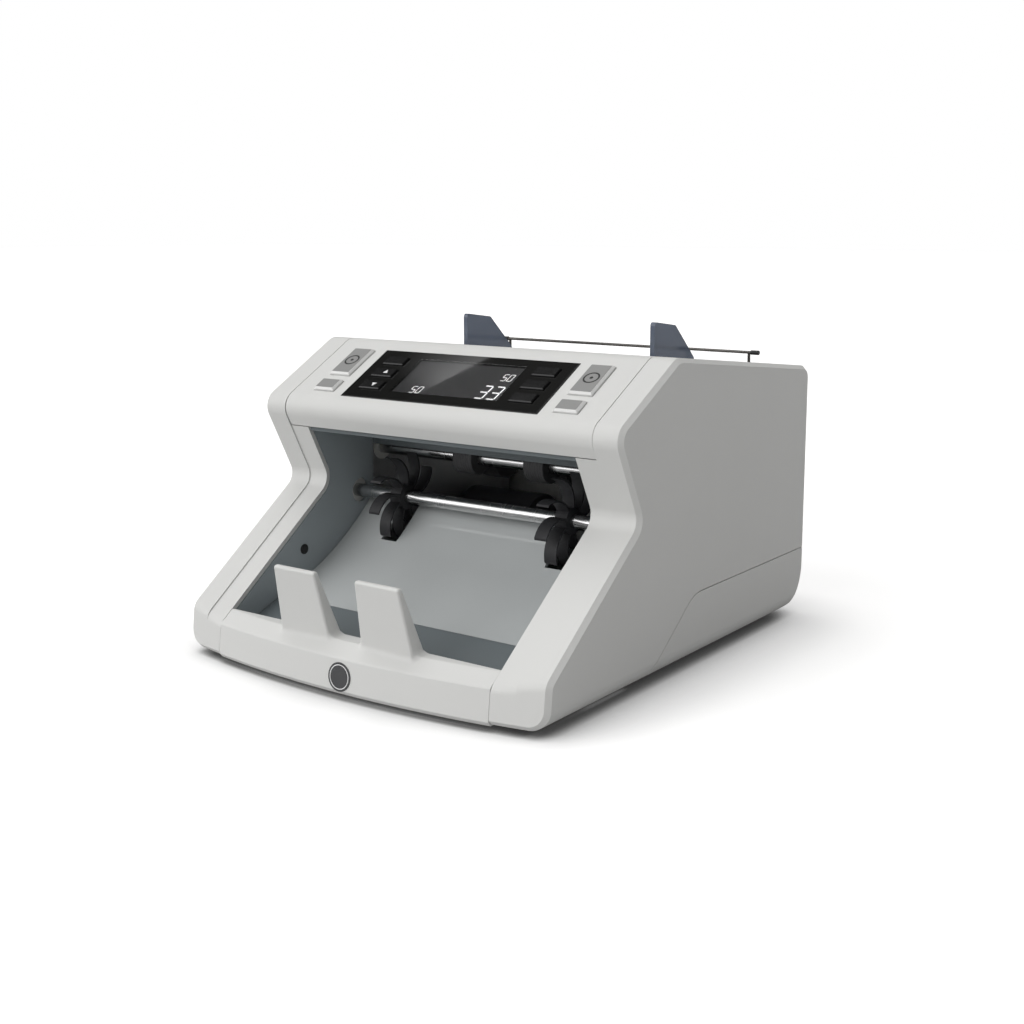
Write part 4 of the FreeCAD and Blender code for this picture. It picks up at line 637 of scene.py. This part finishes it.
# %% Badge ring
BADGE_LEAN = math.radians(6)
BADGE_RISE = 9.5         # of the badge's middle over the lip's foremost edge
badge_middle = Vector((3.6, -147.5 + math.tan(BADGE_LEAN) * BADGE_RISE, 12.5)) * MM
badge_face = Matrix.Translation(badge_middle) @ Matrix.Rotation(math.pi / 2 - BADGE_LEAN, 4, "X")
badge_ring = ring_film("badge_ring", 0, 0, 0.28, 6.5, 6.05, 0.06)
dress(settle(badge_ring, badge_face), WHITE_PRINT, "casing")
print("badge ring", [round(v, 4) for v in badge_middle])

# %% [markdown]
# ## Hopper bed
# Notes slide down the hopper bed on low ribs, so that they don't cling to the plastic. One rib is drawn with the
# drafted sides that a mould needs, and copied across the bed, clear of the tyres and of the guides' slots.

# %% Bed ribs
BED = at(0, 43, 121) @ turned(18.99, "X")
RIB_TOP = 0.7
RIB_STARTS, RIB_ENDS = 6, 98
RIBS_X = (-38.5, -10.5, -3.5, 3.5, 10.5, 38.5)
rib = sized_box("bed_rib", (-1, RIB_STARTS, -0.2), (1, RIB_ENDS, RIB_TOP))
edit(rib)
pick_side(rib, UP)
bpy.ops.transform.resize(value=(0.6, 0.985, 1),
                         center_override=(0, (RIB_STARTS + RIB_ENDS) / 2 * MM, RIB_TOP * MM))
leave()
round_edges(rib, 0.25)
ribs = repeated("hopper_bed_ribs", rib, [BED @ at(x, 0, 0) for x in RIBS_X])
dress(ribs, FINISH["body_plastic"], "casing")
print("ribs", len(RIBS_X))

# %% [markdown]
# ## Tyres
# The note wheels have grooves turned into their rubber, which let dust through and keep the grip even. The
# grooves are far finer than the mesh, so they are a wave in the finish.

# %% Grooved rubber
def grooved(name, colour, pitch):
    """Rubber with grooves around the X axis; a wave texture repeats 20 times in 2 pi at scale one."""
    finish, tree, shader, place = new_finish(name)
    tint = cloud(tree, place, 40, 4)
    tree.links.new(between(tree, tint, shade(colour, 0.9), shade(colour, 1.1)), shader.inputs["Base Color"])
    tree.links.new(spread(tree, tint, 0.6, 0.75), shader.inputs["Roughness"])
    wave = add_node(tree, "TexWave", {"Scale": 2 * math.pi / (20 * pitch * MM)}, bands_direction="X")
    tree.links.new(place, wave.inputs["Vector"])
    bump(tree, shader, wave.outputs["Fac"], 0.6, 0.0004)
    return finish


TYRE = grooved("grooved_tyre_rubber", (0.055, 0.055, 0.057), 1.75)
for tyres in ("pickup_tyres", "feed_tyres", "transport_tyres"):
    skins[tyres].data.materials[0] = TYRE
print("grooved tyres")

# %% [markdown]
# ## Underside
# The machine stands on four tapered rubber feet with a hollow that grips the table. Four screws with a cross
# recess hold the covers, and a blank foil plate sits where a rating plate goes. Foot and screw are each shaped
# once and copied. A boolean cuts the cross, because a cross doesn't follow the edges of a round head.

# %% Feet
FOOT_HEIGHT = 4
foot = upright_rod("foot", 48, 9, FOOT_HEIGHT, FOOT_HEIGHT / 2)
edit(foot)
pick_side(foot, DOWN)
bpy.ops.transform.resize(value=(0.9, 0.9, 1), center_override=(0, 0, 0))
bpy.ops.mesh.inset(thickness=4.2 * MM)
lift(0, 0, 1.4)
leave()
round_edges(foot, 0.4)
table_feet = repeated("tapered_feet", foot, [at(x, y, 0) for x in (-98, 98) for y in (-104.1, 106)])
dress(table_feet, FINISH["roller_rubber"], "casing")
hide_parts("rubber_feet")

# %% Screws
screw = upright_rod("screw", 40, 3, 1.8, 3.1)
inset_top(screw, 1.5, 8)
round_edges(screw, 0.5)
for turn in (0, 90):
    cutter = sized_box("cross_cutter", (-1.7, -0.4, 1.8), (1.7, 0.4, 3.3))
    settle(cutter, turned(turn, "Z"))
    apply_modifier(screw, "BOOLEAN", operation="DIFFERENCE", object=cutter)
    bpy.data.objects.remove(cutter)
cross_screws = repeated("cross_screws", screw, [at(x, y, 0) for x in (-80, 80) for y in (-80, 84)])
dress(cross_screws, FINISH["bright_steel"], "casing")
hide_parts("case_screws")

# %% Blank plate
FOIL = moulded("brushed_foil", (0.55, 0.55, 0.56), (0.3, 0.4), 200, 0.02, 0.03, 0.5,
               stretch=(1, 12, 1), sockets=METAL)
plate = flat_plate("blank_plate", (-30, 14, 3.84), (30, 50), 2, 0.16)
dress(plate, FOIL, "casing")
print("underside dressed")

# %% [markdown]
# ## Rear fittings
# The rocker carries the line and the circle that mark on and off, each laid on its own half of the rocker. The
# mains inlet is a black socket with three nickel blades, of which the middle one sits higher.

# %% Rocker marks
ROCKER_X = 84
line_mark = flat_plate("line_mark", (-0.4, -1.8, 0), (0.4, 1.8), 0.3, 0.05)
settle(line_mark, at(ROCKER_X, 145.27, 65.2) @ turned(-105, "X"))
dress(line_mark, WHITE_PRINT, "power_rocker")
circle_mark = ring_film("circle_mark", 0, 0, 0, 1.8, 1.15, 0.05)
settle(circle_mark, at(ROCKER_X, 144.47, 57.65) @ turned(-87, "X"))
dress(circle_mark, WHITE_PRINT, "power_rocker")

# %% Inlet blades
BLADE_END = 141.6
BLADE_TIP = 1.2
NICKEL = moulded("nickel_plate", (0.62, 0.6, 0.55), (0.18, 0.26), 200, 0.01, 0.03, 0.5, sockets=METAL)
blade = sized_box("inlet_blade", (-1.06, 132.5, -2.06), (1.06, BLADE_END, 2.06))
edit(blade)
pick_side(blade, REARWARD)
lift(0, BLADE_TIP, 0)
bpy.ops.transform.resize(value=(0.5, 1, 0.7), center_override=(0, (BLADE_END + BLADE_TIP) * MM, 0))
leave()
round_edges(blade, 0.2)
blades = repeated("inlet_blades", blade, [at(x, 0, z) for x, z in ((47, 60), (54, 64), (61, 60))])
dress(blades, NICKEL, "casing")
print("rear fittings")

# %% [markdown]
# ## Circuit board and pocket sensors
# The board in the base carries chips, capacitors and plug sockets. In the pocket a small lens on each wall
# watches whether notes are lying there. All of them start as a box or a rod whose top face is inset and then
# raised or sunk.

# %% Board components
BOARD_TOP = 13.2
chip = sized_box("chip", (-6, -6, BOARD_TOP), (6, 6, BOARD_TOP + 1.8))
inset_top(chip, 0.8, 0.25)
round_edges(chip, 0.2)
chips = repeated("board_chips", chip, [at(x, y, 0) for x, y in ((-40, -30), (-10, -34), (24, -24), (48, 10))])
dress(chips, FINISH["black_plastic"], "casing")

can = upright_rod("can", 32, 4, 8, BOARD_TOP + 4)
inset_top(can, 0.7, -0.4)
round_edges(can, 0.3)
cans = repeated("board_capacitors", can, [at(x, 34, 0) for x in (-46, -34, -22)])
dress(cans, FINISH["motor_case"], "casing")

plug = sized_box("plug", (-8, -3, BOARD_TOP), (8, 3, BOARD_TOP + 6))
inset_top(plug, 0.9, -4.5)
round_edges(plug, 0.2)
plugs = repeated("board_plugs", plug, [at(x, 47, 0) for x in (0, 22, 44)])
dress(plugs, FINISH["white_nylon"], "casing")

# %% Pocket lenses
lens = upright_rod("lens", 40, 3, 0.8, 0.2)
inset_top(lens, 0.9, 0.3)
round_edges(lens, 0.15)
lenses = repeated("pocket_lenses", lens,
                  [at(side * 94.4, -72, 52) @ turned(-90 * side, "Y") for side in (-1, 1)])
dress(lenses, FINISH["black_plastic"], "casing")
print("board and lenses")

# %% [markdown]
# ## Studio
# Two broad suns and an even surround light the machine at a plain level. To the camera the floor and the
# surround are white, except near the machine. There an occlusion node paints a contact shadow into the floor's
# colour and glow, on top of the real shadow. Reflections see a white horizon under a dim ceiling, as in a
# studio tent, and one large card whose straight edge crosses the display as a slanted gloss.

# %% Floor
PAPER_TONE = (0.84, 0.835, 0.83, 1)
BOUNCE_TONE = (0.55, 0.55, 0.55, 1)    # of the light that the paper throws back on the machine
SHADOW_REACH = 0.05
# The paper's glow for the camera runs from weak near the machine to full in the open: a painted contact shadow.
PAINTED_SHADE_GLOW_RAMP = {"From Min": 0.25, "From Max": 0.68, "To Min": 0.03, "To Max": 0.38}


def bare_finish(name):
    """Material with an empty node tree, for things that aren't part of the machine."""
    finish = bpy.data.materials.new(name)
    finish.use_nodes = True
    finish.node_tree.nodes.clear()
    return finish, finish.node_tree


floor = settle(start("studio_floor", "plane", size=30))
floor_finish, paper_tree = bare_finish("studio_paper")
path = add_node(paper_tree, "LightPath")
# The occlusion node darkens the paper's colour near the machine for the camera: a painted contact shadow.
painted_contact_shade = add_node(paper_tree, "AmbientOcclusion",
                   {"Distance": SHADOW_REACH, "Color": PAPER_TONE}, samples=16)
tone = add_node(paper_tree, "Mix", {"A": BOUNCE_TONE}, data_type="RGBA")
paper = add_node(paper_tree, "BsdfDiffuse")
glow_outside_painted_shade = add_node(paper_tree, "MapRange", PAINTED_SHADE_GLOW_RAMP, interpolation_type="SMOOTHSTEP")
seen = add_node(paper_tree, "Math", operation="MULTIPLY")
glow = add_node(paper_tree, "Emission")
both = add_node(paper_tree, "AddShader")
floor_out = add_node(paper_tree, "OutputMaterial")
wire = paper_tree.links.new
wire(path.outputs["Is Camera Ray"], tone.inputs["Factor"])
wire(painted_contact_shade.outputs["Color"], tone.inputs["B"])
wire(tone.outputs["Result"], paper.inputs["Color"])
wire(painted_contact_shade.outputs["AO"], glow_outside_painted_shade.inputs["Value"])
wire(path.outputs["Is Camera Ray"], seen.inputs[0])
wire(glow_outside_painted_shade.outputs["Result"], seen.inputs[1])
wire(seen.outputs[0], glow.inputs["Strength"])
wire(paper.outputs[0], both.inputs[0])
wire(glow.outputs[0], both.inputs[1])
wire(both.outputs[0], floor_out.inputs["Surface"])
floor.data.materials.append(floor_finish)

# %% Surround
DIFFUSE_LEVEL, SEEN_LEVEL = 0.42, 1.0
TENT = {"From Min": 0.2, "From Max": 0.6, "To Min": 1.0, "To Max": 0.03}    # level over height, for reflections
world = bpy.data.worlds.new("studio_surround")
bpy.context.scene.world = world
world.use_nodes = True
sky = world.node_tree
background = sky.nodes["Background"]
background.inputs["Color"].default_value = (1, 1, 1, 1)
rays = add_node(sky, "LightPath")
direct = add_node(sky, "Math", operation="MAXIMUM")
plain = add_node(sky, "Mix", {"A": DIFFUSE_LEVEL, "B": SEEN_LEVEL})
heading = add_node(sky, "TexCoord")
split = add_node(sky, "SeparateXYZ")
tent = add_node(sky, "MapRange", TENT)
strength = add_node(sky, "Mix")
wire = sky.links.new
wire(rays.outputs["Is Camera Ray"], direct.inputs[0])
wire(rays.outputs["Is Transmission Ray"], direct.inputs[1])
wire(direct.outputs[0], plain.inputs["Factor"])
wire(heading.outputs["Generated"], split.inputs["Vector"])
wire(split.outputs["Z"], tent.inputs["Value"])
wire(rays.outputs["Is Glossy Ray"], strength.inputs["Factor"])
wire(plain.outputs["Result"], strength.inputs["A"])
wire(tent.outputs["Result"], strength.inputs["B"])
wire(strength.outputs["Result"], background.inputs["Strength"])
print("floor and surround")

# %% Suns
def broad_sun(name, towards, spread_angle, level):
    """Sun whose light comes from a direction; level 1 shows a facing white surface as white."""
    lamp = bpy.data.lights.new(name, "SUN")
    lamp.angle = math.radians(spread_angle)
    lamp.energy = level * math.pi
    holder = bpy.data.objects.new(name, lamp)
    bpy.context.scene.collection.objects.link(holder)
    holder.rotation_mode = "QUATERNION"
    holder.rotation_quaternion = (-Vector(towards)).to_track_quat("-Z", "Y")


broad_sun("key_light", (-0.25, 0.05, 0.96), 40, 0.3)
broad_sun("front_fill", (-0.4, -0.8, 0.45), 60, 0.5)
print("two suns")

# %% [markdown]
# ## Gloss on the display
# The glossy bezel shows a pale slanted field with one straight edge. A mirror shows what its mirrored camera
# would see, so the card's corners lie on rays from that camera through chosen places on the display. The card
# shows in reflections alone, and fades to the left and towards the front.

# %% Gloss card
CARD_REACH = 1.9                    # metres from the mirrored camera
CARD_WIDTH = 70
CARD_TOP_Y, CARD_BOTTOM_Y = -5, -60
EDGE_X, EDGE_Y = 7.8, -10.9         # a place on the straight edge
EDGE_RUN, EDGE_RISE = 20.5, 33.4
DISPLAY_MIDDLE_Y = -30

mirror_normal = (PANEL.to_3x3() @ UP).normalized()
panel_middle = PANEL @ Vector((0, DISPLAY_MIDDLE_Y * MM, WINDOW_TOP * MM))
image_camera = camera.location - 2 * (camera.location - panel_middle).dot(mirror_normal) * mirror_normal
aim = (panel_middle - image_camera).normalized()


def on_card(x, y):
    """Place on the card that the camera sees at a place on the display."""
    ray = (PANEL @ (Vector((x, y, WINDOW_TOP)) * MM) - image_camera).normalized()
    return image_camera + ray * CARD_REACH / ray.dot(aim)


card = settle(start("gloss_card", "plane", size=1))
for point in card.data.vertices:
    y = CARD_TOP_Y if point.co.y > 0 else CARD_BOTTOM_Y
    x = EDGE_X + (y - EDGE_Y) * EDGE_RUN / EDGE_RISE
    point.co = on_card(x if point.co.x < 0 else x - CARD_WIDTH, y)
print("gloss card at", [round(v, 3) for v in on_card(0, DISPLAY_MIDDLE_Y)])

# %% Light of the gloss card
FADE_POWER = 1.7
SLANT = (-0.48, 0.84, 0)
SLANT_FADE = {"From Min": 0.1, "From Max": 0.43, "To Max": 1.2}
card_finish, card_tree = bare_finish("gloss_card_light")
card_place = add_node(card_tree, "TexCoord")
card_split = add_node(card_tree, "SeparateXYZ")
sideways = add_node(card_tree, "Math", {0: 1.0}, operation="SUBTRACT")
faded = add_node(card_tree, "Math", {1: FADE_POWER}, operation="POWER")
slant = add_node(card_tree, "VectorMath", {1: SLANT}, operation="DOT_PRODUCT")
frontward = add_node(card_tree, "MapRange", SLANT_FADE, interpolation_type="SMOOTHSTEP")
fade = add_node(card_tree, "Math", operation="MULTIPLY")
card_glow = add_node(card_tree, "Emission")
card_out = add_node(card_tree, "OutputMaterial")
wire = card_tree.links.new
wire(card_place.outputs["UV"], card_split.inputs["Vector"])
wire(card_split.outputs["X"], sideways.inputs[1])
wire(sideways.outputs[0], faded.inputs[0])
wire(card_place.outputs["UV"], slant.inputs[0])
wire(slant.outputs["Value"], frontward.inputs["Value"])
wire(faded.outputs[0], fade.inputs[0])
wire(frontward.outputs["Result"], fade.inputs[1])
wire(fade.outputs[0], card_glow.inputs["Strength"])
wire(card_glow.outputs[0], card_out.inputs["Surface"])
card.data.materials.append(card_finish)
card.visible_camera = False
card.visible_diffuse = False
card.visible_transmission = False
card.visible_shadow = False

# %% Finish
bpy.context.scene.view_settings.view_transform = "Standard"
